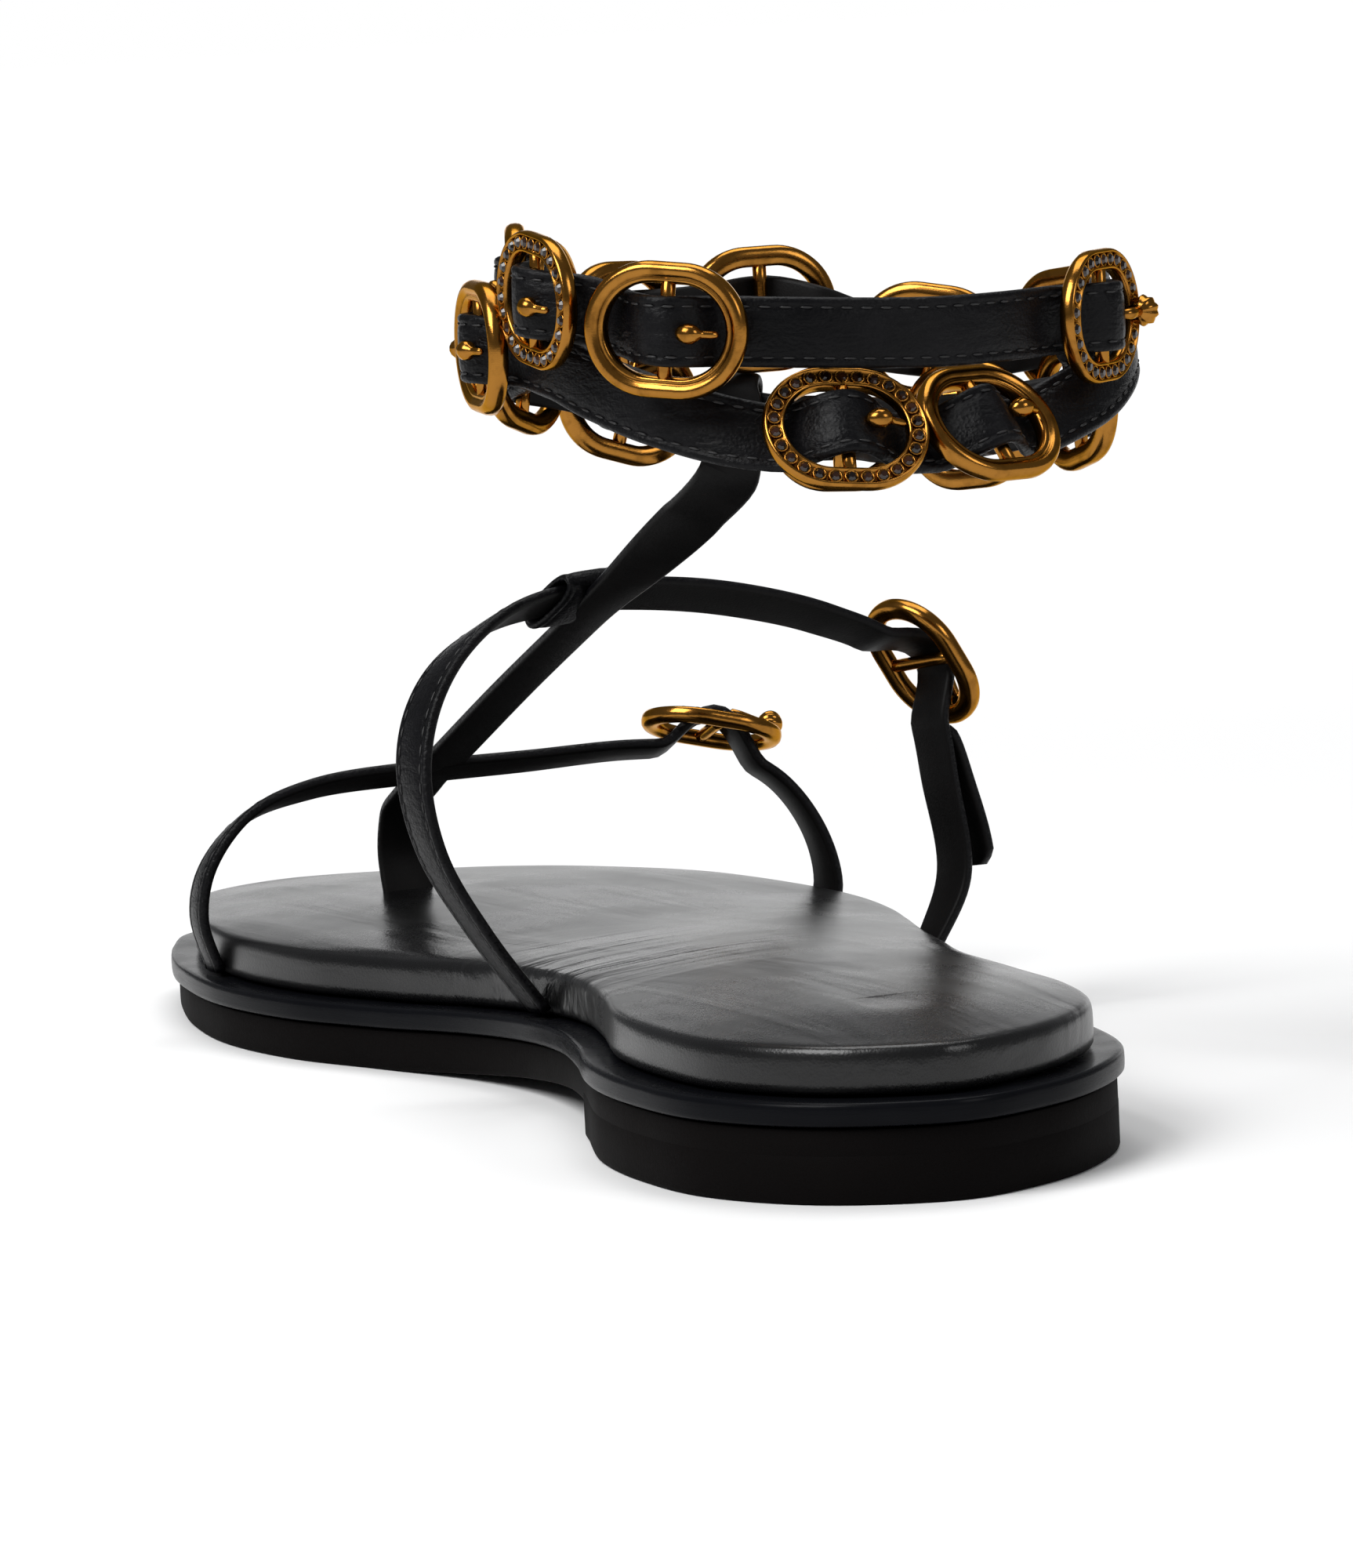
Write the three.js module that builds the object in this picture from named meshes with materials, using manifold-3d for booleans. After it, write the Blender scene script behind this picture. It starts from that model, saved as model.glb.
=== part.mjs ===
// A flat gladiator sandal for the right foot, standing empty on its sole.
// Millimetres. +Y runs to the toe, +X to the outer side of the foot, +Z up.
// The origin is the middle of the heel's tread, on the floor.

import * as THREE from 'three';
import { mergeVertices } from 'three/addons/utils/BufferGeometryUtils.js';
import Module from 'manifold-3d';

const wasm = await Module();
wasm.setup();

// ---------------------------------------------------------------- driving sizes

const gap = 0.3; // air between neighbouring pieces

// Sole
const heelBackY = -35;
const heelBackX = -5;
const toeTipY = 215;
const toeTipX = 2;
const bandHeight = 3; // midsole band round the sole's edge
const bandProud = 1; // how far the band stands out past the outsole
const edgeRound = 0.6; // small round on the edges of the rubber and the band
const padInset = 3.2; // the footbed's side, inside the outsole's edge
const padHeight = 6.2; // footbed above the band
const padCrown = 0.8; // extra height along the footbed's middle
const breastMedial = [-34, 42.6]; // the heel's front face runs between these plan points
const breastLateral = [40, 20.8];

// Straps
const strapWidth = 7.6;
const ankleStrapWidth = 8.5;
const strapThickness = 1.5;

// Ring buckles
const ringWidth = 20.4;
const ringHeight = 16.4;
const ringTube = 1.3; // radius of the rim
const barRadius = 0.9;
const pinRadius = 0.7;
const beadRadius = 1; // on each pin, where it leaves the strap
const closingBeadRadius = 1.9; // at the rim, on the buckles that fasten a strap
const domeHalfLength = 8; // a strap rises over each bar within this distance
const ringLift = 3.3; // ring plane above the middle of the strap that passes under its rim

// Ankle loop, seen from above
const ankleX = -5;
const ankleY = 10;
const ankleHalfWidth = 41;
const ankleHalfDepth = 37;

// Outline of the outsole: its inner (medial) and outer (lateral) edge at places along the foot.
const outlineRows = [
  { y: -31.5, medial: -15.5, lateral: 6.5 },
  { y: -25, medial: -23.6, lateral: 16.2 },
  { y: -12, medial: -30.6, lateral: 26.6 },
  { y: 4, medial: -32.1, lateral: 31.2 },
  { y: 20, medial: -30.4, lateral: 32.4 },
  { y: 38, medial: -24.6, lateral: 34 },
  { y: 56, medial: -19.4, lateral: 39.2 },
  { y: 76, medial: -16.5, lateral: 45.6 },
  { y: 94, medial: -17.8, lateral: 51.8 },
  { y: 112, medial: -23.2, lateral: 57.2 },
  { y: 130, medial: -29.6, lateral: 59.5 },
  { y: 150, medial: -32, lateral: 58.4 },
  { y: 170, medial: -29.6, lateral: 55 },
  { y: 186, medial: -25.4, lateral: 49.6 },
  { y: 199, medial: -20.4, lateral: 40 },
  { y: 208.5, medial: -14.6, lateral: 25.5 },
];

// Side profile of the sole: underside of the rubber sheet, and top of the midsole band.
const profileRows = [
  { y: -36, under: 5.2, band: 12.7 },
  { y: 28, under: 5.0, band: 12.7 },
  { y: 50, under: 4.2, band: 12.0 },
  { y: 76, under: 2.4, band: 10.6 },
  { y: 100, under: 0.6, band: 9.4 },
  { y: 114, under: 0, band: 8.9 },
  { y: 166, under: 0, band: 8.6 },
  { y: 190, under: 0.5, band: 8.1 },
  { y: 216, under: 1.6, band: 8.2 },
];

// Middle strap, from the post between the toes up to the front of the ankle.
const middleStrapRows = [
  { run: 0, x: 4.2, y: 168.5, z: 16.4, width: 7.8 },
  { run: 1, x: 4, y: 170.4, z: 22, width: 7.4 },
  { run: 2, x: 3.6, y: 168.2, z: 28, width: 7 },
  { run: 3, x: 3.2, y: 160.5, z: 32.4, width: 7 },
  { run: 4, x: 3, y: 148, z: 38, width: 7 },
  { run: 5, x: 3, y: 122, z: 49.8, width: 7 },
  { run: 6, x: 3, y: 97, z: 60.6, width: 7 },
  { run: 7, x: 3.6, y: 78, z: 68.8, width: 7.6 },
  { run: 8, x: 5.4, y: 63, z: 76.6, width: 8 },
];

// Toe strap and instep strap: the middle of each strap from its inner foot to its outer one.
// lean is the strap's slope across its width, where it lies on the top of the foot, and yaw turns
// its width from straight ahead, in degrees, so that each foot follows the sole's edge.
const toeStrapRows = [
  { x: -29.3, y: 160, z: 9.4, lean: 0, yaw: 7 },
  { x: -31.2, y: 160.4, z: 17, lean: 0, yaw: 8 },
  { x: -29.6, y: 160, z: 24, lean: -0.1, yaw: 9 },
  { x: -23.6, y: 158.9, z: 30.8, lean: -0.25, yaw: 10 },
  { x: -14.4, y: 157.2, z: 34, lean: -0.4, yaw: 11 },
  { x: 0, y: 154.6, z: 35.2, lean: -0.45, yaw: 11 },
  { x: 16, y: 151.4, z: 35.7, lean: -0.42, yaw: 11 },
  { x: 32, y: 148.4, z: 36.2, lean: -0.36, yaw: 11 },
  { x: 43.6, y: 146, z: 35, lean: -0.3, yaw: 9 },
  { x: 51.8, y: 144.4, z: 30.6, lean: -0.2, yaw: 6 },
  { x: 57, y: 143.2, z: 23, lean: -0.1, yaw: 2 },
  { x: 58.8, y: 142.8, z: 15, lean: 0, yaw: -2 },
  { x: 57.3, y: 143, z: 9.6, lean: 0, yaw: -3 },
];
const toeBuckleRow = 7.9; // place of the buckle, counted in rows
const instepStrapRows = [
  { x: -14.8, y: 76, z: 11.8, lean: 0, yaw: 0 },
  { x: -22.6, y: 76.6, z: 23, lean: 0, yaw: -2 },
  { x: -28, y: 77.8, z: 33.5, lean: 0, yaw: -5 },
  { x: -29.4, y: 79.4, z: 43.6, lean: -0.05, yaw: -9 },
  { x: -27.2, y: 81.4, z: 51.6, lean: -0.15, yaw: -13 },
  { x: -22, y: 84, z: 58, lean: -0.28, yaw: -16 },
  { x: -12.6, y: 88, z: 62.8, lean: -0.5, yaw: -18 },
  { x: 0, y: 92, z: 64.4, lean: -0.62, yaw: -16 },
  { x: 14, y: 95.4, z: 63.6, lean: -0.64, yaw: -13 },
  { x: 27, y: 98, z: 61.4, lean: -0.6, yaw: -10 },
  { x: 40.2, y: 100, z: 57.6, lean: -0.5, yaw: -10 },
  { x: 50.4, y: 101, z: 52.6, lean: -0.36, yaw: -12 },
  { x: 55.6, y: 101, z: 44, lean: -0.2, yaw: -13 },
  { x: 57.2, y: 100.2, z: 33.4, lean: -0.06, yaw: -12 },
  { x: 58, y: 98.8, z: 20.6, lean: 0, yaw: -7 },
  { x: 52.4, y: 97, z: 10.6, lean: 0, yaw: 6 },
];
const instepBuckleRow = 11.5;
const instepTail = { fromRow: 12.35, toRow: 13.9, away: 4, endWidth: 6.4 };

// Ankle strap: one strap wound twice round the ankle. turn is the angle round the ankle
// in degrees (0 outer side, 90 front, 180 inner side, 270 back) and runs on past 360.
// lean is how far the strap's top edge tips in over the ankle, in degrees.
const ankleStrapRows = [
  { turn: -46.5, out: -1.8, height: 103, lean: 0 },
  { turn: -30, out: -3, height: 97.7, lean: 0 },
  { turn: -15, out: -4.2, height: 93.5, lean: 0 },
  { turn: 6, out: -5.4, height: 90.4, lean: 0 },
  { turn: 24, out: -6.2, height: 88.9, lean: 0 },
  { turn: 30, out: -6, height: 88.5, lean: 0 },
  { turn: 43, out: -3.8, height: 88.1, lean: 0 },
  { turn: 60.6, out: -0.2, height: 88.1, lean: 0 },
  { turn: 77.2, out: 6.2, height: 89.8, lean: 0 },
  { turn: 88, out: 8.4, height: 92.4, lean: 0 },
  { turn: 109, out: 3.6, height: 98.2, lean: 0 },
  { turn: 122, out: -0.4, height: 100.8, lean: 0 },
  { turn: 137, out: -4.4, height: 102.4, lean: 0 },
  { turn: 152, out: -6, height: 103.4, lean: 0 },
  { turn: 171, out: -6, height: 104, lean: 0 },
  { turn: 196, out: -5, height: 102.2, lean: 0 },
  { turn: 210, out: -3.8, height: 99.6, lean: 2 },
  { turn: 226, out: -0.6, height: 96.6, lean: 6 },
  { turn: 243, out: 1.8, height: 93.5, lean: 22 },
  { turn: 258, out: 2.2, height: 92, lean: 34 },
  { turn: 286, out: -1.2, height: 90.9, lean: 38 },
  { turn: 312, out: 0.6, height: 94.4, lean: 28 },
  { turn: 345, out: 3.7, height: 100.6, lean: 5 },
  { turn: 372, out: 4.7, height: 100.2, lean: 0 },
  { turn: 400, out: 5.2, height: 97.8, lean: 0 },
  { turn: 413, out: 4, height: 100, lean: 0 },
  { turn: 428, out: 1, height: 104, lean: 0 },
  { turn: 455, out: -3, height: 103.4, lean: 0 },
  { turn: 484, out: -8.5, height: 107.6, lean: 0 },
  { turn: 522, out: -11.7, height: 110.4, lean: 0 },
  { turn: 542, out: -9.2, height: 111, lean: 0 },
  { turn: 560.5, out: -4, height: 110.5, lean: 0 },
  { turn: 587, out: 2, height: 107.1, lean: 0 },
  { turn: 610, out: 2.9, height: 105.7, lean: 0 },
  { turn: 640, out: 1.9, height: 104.5, lean: 0 },
  { turn: 672, out: 0.2, height: 104.4, lean: 0 },
  { turn: 700, out: 0.5, height: 104.9, lean: 0 },
  { turn: 713, out: 1, height: 105.1, lean: 0 },
];
const tailPointLength = 7; // the free end narrows to its tip over this length
const tailTipWidth = 1.6;

// Runs of ring buckles on the ankle strap, by their turn angles. The middle strap holds the
// ankle strap between the fourth and fifth of the low run.
const ringRuns = [
  { name: 'ring_low', turns: [172.2, 136.8, 110.6, 89.6, 59.4, 29.2, -5] },
  { name: 'ring_back', turns: [256.8, 283.9] },
  { name: 'ring_high', turns: [590.8, 563.4, 523.8, 485, 456.4, 429.2, 403.2, 377.2] },
  { name: 'ring_closing', turns: [672] },
];
const middleLoopTurn = 74.6; // where the middle strap folds round the ankle strap
const middleLoopWidth = 4.2; // where it passes between two ring buckles

// ---------------------------------------------------------------- small tools

// A smooth curve through a table's rows that never overshoots between two of them.
function tableCurve(rows, key, value) {
  const slopes = rows.slice(1).map((row, i) => (row[value] - rows[i][value]) / (row[key] - rows[i][key]));
  const tangents = rows.map((row, i) => {
    if (i === 0) return slopes[0];
    if (i === rows.length - 1) return slopes[slopes.length - 1];
    const before = slopes[i - 1];
    const after = slopes[i];
    return before * after <= 0 ? 0 : (2 * before * after) / (before + after);
  });
  return (x) => {
    let i = rows.findIndex((row) => row[key] > x) - 1;
    if (i === -2) i = rows.length - 2;
    if (i < 0) i = 0;
    const span = rows[i + 1][key] - rows[i][key];
    const t = THREE.MathUtils.clamp((x - rows[i][key]) / span, 0, 1);
    const start = (1 + 2 * t) * (1 - t) ** 2 * rows[i][value] + t * (1 - t) ** 2 * span * tangents[i];
    const end = t * t * (3 - 2 * t) * rows[i + 1][value] + t * t * (t - 1) * span * tangents[i + 1];
    return start + end;
  };
}

function geometryFrom(positions, indices) {
  const geometry = new THREE.BufferGeometry();
  geometry.setAttribute('position', new THREE.Float32BufferAttribute(positions, 3));
  geometry.setIndex(indices);
  return geometry;
}

function toSolid(geometry) {
  const bare = geometry.clone();
  bare.deleteAttribute('normal');
  bare.deleteAttribute('uv');
  const merged = mergeVertices(bare, 1e-4);
  const vertProperties = new Float32Array(merged.attributes.position.array);
  const triVerts = new Uint32Array(merged.index.array);
  return new wasm.Manifold(new wasm.Mesh({ numProp: 3, vertProperties, triVerts }));
}

function fromSolid(solid) {
  const mesh = solid.getMesh();
  return geometryFrom(Array.from(mesh.vertProperties), Array.from(mesh.triVerts));
}

function joined(geometries) {
  return fromSolid(geometries.map(toSolid).reduce((whole, piece) => whole.add(piece)));
}

// ---------------------------------------------------------------- sole

const outlineCurve = new THREE.CatmullRomCurve3(
  [
    new THREE.Vector3(heelBackX, heelBackY, 0),
    ...outlineRows.map((row) => new THREE.Vector3(row.medial, row.y, 0)),
    new THREE.Vector3(toeTipX, toeTipY, 0),
    ...outlineRows.toReversed().map((row) => new THREE.Vector3(row.lateral, row.y, 0)),
  ],
  true,
  'centripetal',
);
const outlineSamples = 480;

// The outline moved outwards by a distance, split into its two edges from heel to toe.
function outlineEdges(offset) {
  const ring = [];
  for (let i = 0; i < outlineSamples; i += 1) {
    const point = outlineCurve.getPoint(i / outlineSamples);
    const tangent = outlineCurve.getTangent(i / outlineSamples);
    ring.push([point.x - tangent.y * offset, point.y + tangent.x * offset]);
  }
  const heights = ring.map((point) => point[1]);
  const back = heights.indexOf(Math.min(...heights));
  const front = heights.indexOf(Math.max(...heights));
  const turned = (start, count) => Array.from({ length: count }, (_, i) => ring[(start + i) % ring.length]);
  const medial = turned(back, ((front - back + ring.length) % ring.length) + 1);
  const lateral = turned(front, ((back - front + ring.length) % ring.length) + 1).reverse();
  return { medial, lateral };
}

function edgeX(edge, y) {
  const i = edge.findIndex((point) => point[1] >= y);
  if (i <= 0) return edge[i === 0 ? 0 : edge.length - 1][0];
  const share = (y - edge[i - 1][1]) / (edge[i][1] - edge[i - 1][1]);
  return edge[i - 1][0] + share * (edge[i][0] - edge[i - 1][0]);
}

const soleStations = 32;
const soleColumns = 5;

// One layer of the sole. levels run upwards, each an offset of the outline and a height along the foot;
// the first and last are closed by caps, the last one raised by crown along its middle.
function soleLayer(levels, crown) {
  const positions = [];
  const indices = [];
  const loops = levels.map((level) => {
    const edges = outlineEdges(level.offset);
    const from = edges.medial[0][1];
    const to = edges.medial.at(-1)[1];
    return Array.from({ length: soleStations + 1 }, (_, j) => {
      const share = (1 - Math.cos((Math.PI * j) / soleStations)) / 2;
      const y = from + (to - from) * (0.75 * share + (0.25 * j) / soleStations);
      return { y, left: edgeX(edges.medial, y), right: edgeX(edges.lateral, y), z: level.height(y) };
    });
  });
  const put = (x, y, z) => positions.push(x, y, z) / 3 - 1;
  const addFace = (...corners) => {
    const [a, b, c, d] = corners;
    if (a !== b && b !== c && a !== c) indices.push(a, b, c);
    if (a !== c && c !== d && a !== d) indices.push(a, c, d);
  };
  // Corner vertices of every loop; both sides share one vertex at the heel's back and the toe's tip.
  const sides = loops.map((loop) =>
    loop.map((station, j) => {
      const left = put(station.left, station.y, station.z);
      const closed = j === 0 || j === soleStations;
      return { left, right: closed ? left : put(station.right, station.y, station.z) };
    }),
  );
  for (let k = 0; k + 1 < loops.length; k += 1) {
    for (let j = 0; j < soleStations; j += 1) {
      const low = sides[k];
      const high = sides[k + 1];
      addFace(low[j + 1].left, low[j].left, high[j].left, high[j + 1].left);
      addFace(low[j].right, low[j + 1].right, high[j + 1].right, high[j].right);
    }
  }
  const cap = (k, upward, raise) => {
    const rows = loops[k].map((station, j) => {
      const { left, right } = sides[k][j];
      if (left === right) return Array(soleColumns + 1).fill(left);
      const row = [left];
      for (let i = 1; i < soleColumns; i += 1) {
        const share = i / soleColumns;
        const x = station.left + (station.right - station.left) * share;
        row.push(put(x, station.y, station.z + raise * Math.sin(Math.PI * share)));
      }
      return [...row, right];
    });
    for (let j = 0; j < soleStations; j += 1) {
      for (let i = 0; i < soleColumns; i += 1) {
        const quad = [rows[j][i], rows[j][i + 1], rows[j + 1][i + 1], rows[j + 1][i]];
        addFace(...(upward ? quad : quad.reverse()));
      }
    }
  };
  cap(0, false, 0);
  cap(loops.length - 1, true, crown);
  return geometryFrom(positions, indices);
}

const underside = tableCurve(profileRows, 'y', 'under');
const bandTop = tableCurve(profileRows, 'y', 'band');
const bandUnder = (y) => bandTop(y) - bandHeight;

function makeOutsole() {
  const rubberTop = (y) => bandUnder(y) - gap;
  const sheet = soleLayer(
    [
      { offset: -edgeRound, height: underside },
      { offset: 0, height: (y) => underside(y) + edgeRound },
      { offset: 0, height: rubberTop },
    ],
    0,
  );
  const heelBlock = soleLayer(
    [
      { offset: -edgeRound, height: () => 0 },
      { offset: 0, height: () => edgeRound },
      { offset: 0, height: (y) => underside(y) + 2 * edgeRound },
    ],
    0,
  );
  const behindBreast = new THREE.ExtrudeGeometry(
    new THREE.Shape([
      new THREE.Vector2(...breastMedial),
      new THREE.Vector2(breastMedial[0] - 20, -60),
      new THREE.Vector2(breastLateral[0] + 20, -60),
      new THREE.Vector2(...breastLateral),
    ]),
    { depth: 40, bevelEnabled: false },
  );
  behindBreast.translate(0, 0, -10);
  const heel = toSolid(heelBlock).intersect(toSolid(behindBreast));
  return fromSolid(toSolid(sheet).add(heel));
}

function makeMidsoleBand() {
  return soleLayer(
    [
      { offset: bandProud - edgeRound, height: bandUnder },
      { offset: bandProud, height: (y) => bandUnder(y) + edgeRound },
      { offset: bandProud, height: (y) => bandTop(y) - edgeRound },
      { offset: bandProud - edgeRound, height: bandTop },
    ],
    0,
  );
}

// The padded footbed: a pillow with rounded sides, set in from the band so that a ledge shows.
function makeFootbed() {
  const side = [
    { inset: 0.9, share: 0 },
    { inset: 0, share: 0.24 },
    { inset: 0.1, share: 0.55 },
    { inset: 1.1, share: 0.82 },
    { inset: 3.4, share: 1 },
  ];
  return soleLayer(
    side.map((row) => ({
      offset: -padInset - row.inset,
      height: (y) => bandTop(y) + gap + row.share * padHeight,
    })),
    padCrown,
  );
}

// ---------------------------------------------------------------- straps

// A point of a strap holds its place, its outward direction and the direction across its width.
function framesAlong(points, acrossAt) {
  return points.map((point, i) => {
    const before = points[Math.max(i - 1, 0)];
    const after = points[Math.min(i + 1, points.length - 1)];
    const along = after.clone().sub(before).normalize();
    const across = acrossAt(i).clone().addScaledVector(along, -acrossAt(i).dot(along)).normalize();
    const out = new THREE.Vector3().crossVectors(along, across);
    return { point, along, across, out };
  });
}

// A flat strap swept through its frames, closed at both ends.
function ribbon(frames, widths, thickness) {
  const positions = [];
  const indices = [];
  frames.forEach((frame, i) => {
    for (const [side, face] of [[-1, -1], [1, -1], [1, 1], [-1, 1]]) {
      const corner = frame.point
        .clone()
        .addScaledVector(frame.across, (side * widths[i]) / 2)
        .addScaledVector(frame.out, (face * thickness) / 2);
      positions.push(corner.x, corner.y, corner.z);
    }
  });
  for (let i = 0; i + 1 < frames.length; i += 1) {
    for (let k = 0; k < 4; k += 1) {
      const a = 4 * i + k;
      const b = 4 * i + ((k + 1) % 4);
      indices.push(a, b, b + 4, a, b + 4, a + 4);
    }
  }
  const last = 4 * (frames.length - 1);
  indices.push(0, 2, 1, 0, 3, 2, last, last + 1, last + 2, last, last + 2, last + 3);
  const geometry = geometryFrom(positions, indices);
  if (toSolid(geometry).volume() < 0) geometry.setIndex(indices.toReversed());
  return geometry;
}

// Distances along a strap at which it needs a section: close together over each bar, wider elsewhere.
function sectionPlaces(length, ringPlaces) {
  const places = [0, length];
  const domeSteps = 8;
  for (const ring of ringPlaces) {
    for (let i = 0; i <= domeSteps; i += 1) {
      places.push(ring + domeHalfLength * ((2 * i) / domeSteps - 1));
    }
  }
  places.sort((a, b) => a - b);
  const inside = places.filter((place) => place >= 0 && place <= length);
  const filled = [];
  inside.forEach((place, i) => {
    const next = inside[i + 1];
    if (filled.length === 0 || place - filled.at(-1) > 0.4) filled.push(place);
    const steps = next === undefined ? 0 : Math.ceil((next - place) / 5.5);
    for (let k = 1; k < steps; k += 1) filled.push(place + ((next - place) * k) / steps);
  });
  if (length - filled.at(-1) > 1e-6) filled[filled.length - 1] = length;
  return filled;
}

// Lays a strap along a curve, over the bar of each ring on it, and gives each ring's frame.
function strapOver({ pointAt, acrossAt, samples, ringShares, widthAt }) {
  const curvePoints = Array.from({ length: samples + 1 }, (_, i) => pointAt(i / samples));
  const distances = [0];
  for (let i = 1; i <= samples; i += 1) {
    distances.push(distances[i - 1] + curvePoints[i].distanceTo(curvePoints[i - 1]));
  }
  const length = distances.at(-1);
  const shareOf = (distance) => {
    const i = THREE.MathUtils.clamp(distances.findIndex((d) => d >= distance), 1, samples);
    return (i - 1 + (distance - distances[i - 1]) / (distances[i] - distances[i - 1])) / samples;
  };
  const distanceOf = (share) => {
    const i = Math.min(Math.floor(share * samples), samples - 1);
    return distances[i] + (distances[i + 1] - distances[i]) * (share * samples - i);
  };
  const ringPlaces = ringShares.map(distanceOf);
  const rise = ringLift + barRadius + 1.5 * gap + strapThickness / 2;
  const places = sectionPlaces(length, ringPlaces);
  const shares = places.map(shareOf);
  const base = framesAlong(shares.map(pointAt), (i) => acrossAt(shares[i]));
  const lifted = base.map((frame, i) => {
    const away = Math.min(...ringPlaces.map((ring) => Math.abs(places[i] - ring)), domeHalfLength);
    const lift = (rise * (1 + Math.cos((Math.PI * away) / domeHalfLength))) / 2;
    return frame.point.clone().addScaledVector(frame.out, lift);
  });
  const frames = framesAlong(lifted, (i) => acrossAt(shares[i]));
  const widths = places.map((place) => widthAt(place, length));
  const rings = ringShares.map((share) => {
    const step = 1 / samples;
    const frame = framesAlong([share - step, share, share + step].map(pointAt), () => acrossAt(share))[1];
    return { ...frame, point: frame.point.clone().addScaledVector(frame.out, ringLift) };
  });
  return { geometry: ribbon(frames, widths, strapThickness), rings };
}

const upward = new THREE.Vector3(0, 0, 1);
const middleStrapWay = {
  x: tableCurve(middleStrapRows, 'run', 'x'),
  y: tableCurve(middleStrapRows, 'run', 'y'),
  z: tableCurve(middleStrapRows, 'run', 'z'),
  width: tableCurve(middleStrapRows, 'run', 'width'),
};

// The ankle strap's curve, by its turn angle.
const ankleWay = {
  out: tableCurve(ankleStrapRows, 'turn', 'out'),
  height: tableCurve(ankleStrapRows, 'turn', 'height'),
  lean: tableCurve(ankleStrapRows, 'turn', 'lean'),
};

// The direction across the ankle strap: upwards, leaning in over the ankle at the back.
function ankleAcross(turn) {
  const angle = THREE.MathUtils.degToRad(turn);
  const lean = THREE.MathUtils.degToRad(ankleWay.lean(turn));
  const inwards = new THREE.Vector3(-Math.cos(angle), -Math.sin(angle), 0);
  return inwards.multiplyScalar(Math.sin(lean)).setZ(Math.cos(lean));
}

function anklePoint(turn, extraOut = 0) {
  const angle = THREE.MathUtils.degToRad(turn);
  const out = ankleWay.out(turn) + extraOut;
  return new THREE.Vector3(
    ankleX + (ankleHalfWidth + out) * Math.cos(angle),
    ankleY + (ankleHalfDepth + out) * Math.sin(angle),
    ankleWay.height(turn),
  );
}

const ankleRings = ringRuns.flatMap((run) =>
  run.turns.map((turn, i) => ({ name: run.turns.length === 1 ? run.name : `${run.name}_${i + 1}`, turn })),
);

function makeAnkleStrap() {
  const firstTurn = ankleStrapRows[0].turn;
  const lastTurn = ankleStrapRows.at(-1).turn;
  return strapOver({
    pointAt: (share) => anklePoint(THREE.MathUtils.lerp(firstTurn, lastTurn, share)),
    acrossAt: (share) => ankleAcross(THREE.MathUtils.lerp(firstTurn, lastTurn, share)),
    samples: 760,
    ringShares: ankleRings.map((ring) => (ring.turn - firstTurn) / (lastTurn - firstTurn)),
    widthAt: (place, length) => {
      const left = Math.min((length - place) / tailPointLength, 1);
      return THREE.MathUtils.lerp(tailTipWidth, ankleStrapWidth, left);
    },
  });
}

// The way of a strap that arches over the foot, from its table of rows.
function archStrapWay(rows) {
  const lastRow = rows.length - 1;
  const way = new THREE.CatmullRomCurve3(
    rows.map((row) => new THREE.Vector3(row.x, row.y, row.z)),
    false,
    'centripetal',
  );
  const numbered = rows.map((row, number) => ({ ...row, number }));
  const leanAt = tableCurve(numbered, 'number', 'lean');
  const yawAt = tableCurve(numbered, 'number', 'yaw');
  const acrossAt = (share) => {
    const yaw = THREE.MathUtils.degToRad(yawAt(share * lastRow));
    return new THREE.Vector3(Math.sin(yaw), Math.cos(yaw), leanAt(share * lastRow));
  };
  return { pointAt: (share) => way.getPoint(THREE.MathUtils.clamp(share, 0, 1)), acrossAt };
}

// A strap over the foot from edge to edge of the sole, with one buckle on it.
function makeArchStrap(rows, buckleRow) {
  return strapOver({
    ...archStrapWay(rows),
    samples: 300,
    ringShares: [buckleRow / (rows.length - 1)],
    widthAt: () => strapWidth,
  });
}

// The middle strap: up from the toe post, inside the ankle strap, over its top edge and down outside.
function makeMiddleStrap() {
  const lastRun = middleStrapRows.at(-1).run;
  const steps = 30;
  const points = [];
  const widths = [];
  for (let i = 0; i <= steps; i += 1) {
    const run = (lastRun * i) / steps;
    points.push(new THREE.Vector3(middleStrapWay.x(run), middleStrapWay.y(run), middleStrapWay.z(run)));
    widths.push(middleStrapWay.width(run));
  }
  const held = anklePoint(middleLoopTurn);
  const beside = anklePoint(middleLoopTurn - 1).sub(anklePoint(middleLoopTurn + 1)).normalize();
  const outward = new THREE.Vector3().crossVectors(upward, beside).normalize();
  const up = new THREE.Vector3().crossVectors(beside, outward);
  const clear = strapThickness + 2.3 * gap;
  const half = ankleStrapWidth / 2;
  const backWidth = middleStrapRows.at(-1).width;
  const fold = [
    { out: -clear, up: -half - 2.2, width: backWidth },
    { out: -clear, up: -half + 1, width: backWidth },
    { out: -clear, up: half - 0.6, width: 6.4 },
    { out: -0.75 * clear, up: half + 0.8, width: middleLoopWidth },
    { out: 0, up: half + clear - 0.5, width: middleLoopWidth },
    { out: 0.75 * clear, up: half + 0.8, width: middleLoopWidth },
    { out: clear, up: half - 0.6, width: middleLoopWidth },
    { out: clear, up: -half + 1, width: middleLoopWidth },
    { out: clear - 0.6, up: -half - 1, width: middleLoopWidth },
  ];
  for (const row of fold) {
    points.push(held.clone().addScaledVector(outward, row.out).addScaledVector(up, row.up));
    widths.push(row.width);
  }
  const straightAcross = new THREE.Vector3(1, 0, 0);
  const across = (i) => straightAcross.clone().lerp(beside, THREE.MathUtils.smoothstep(i, steps - 8, steps));
  return ribbon(framesAlong(points, across), widths, strapThickness - 0.1);
}

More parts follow.
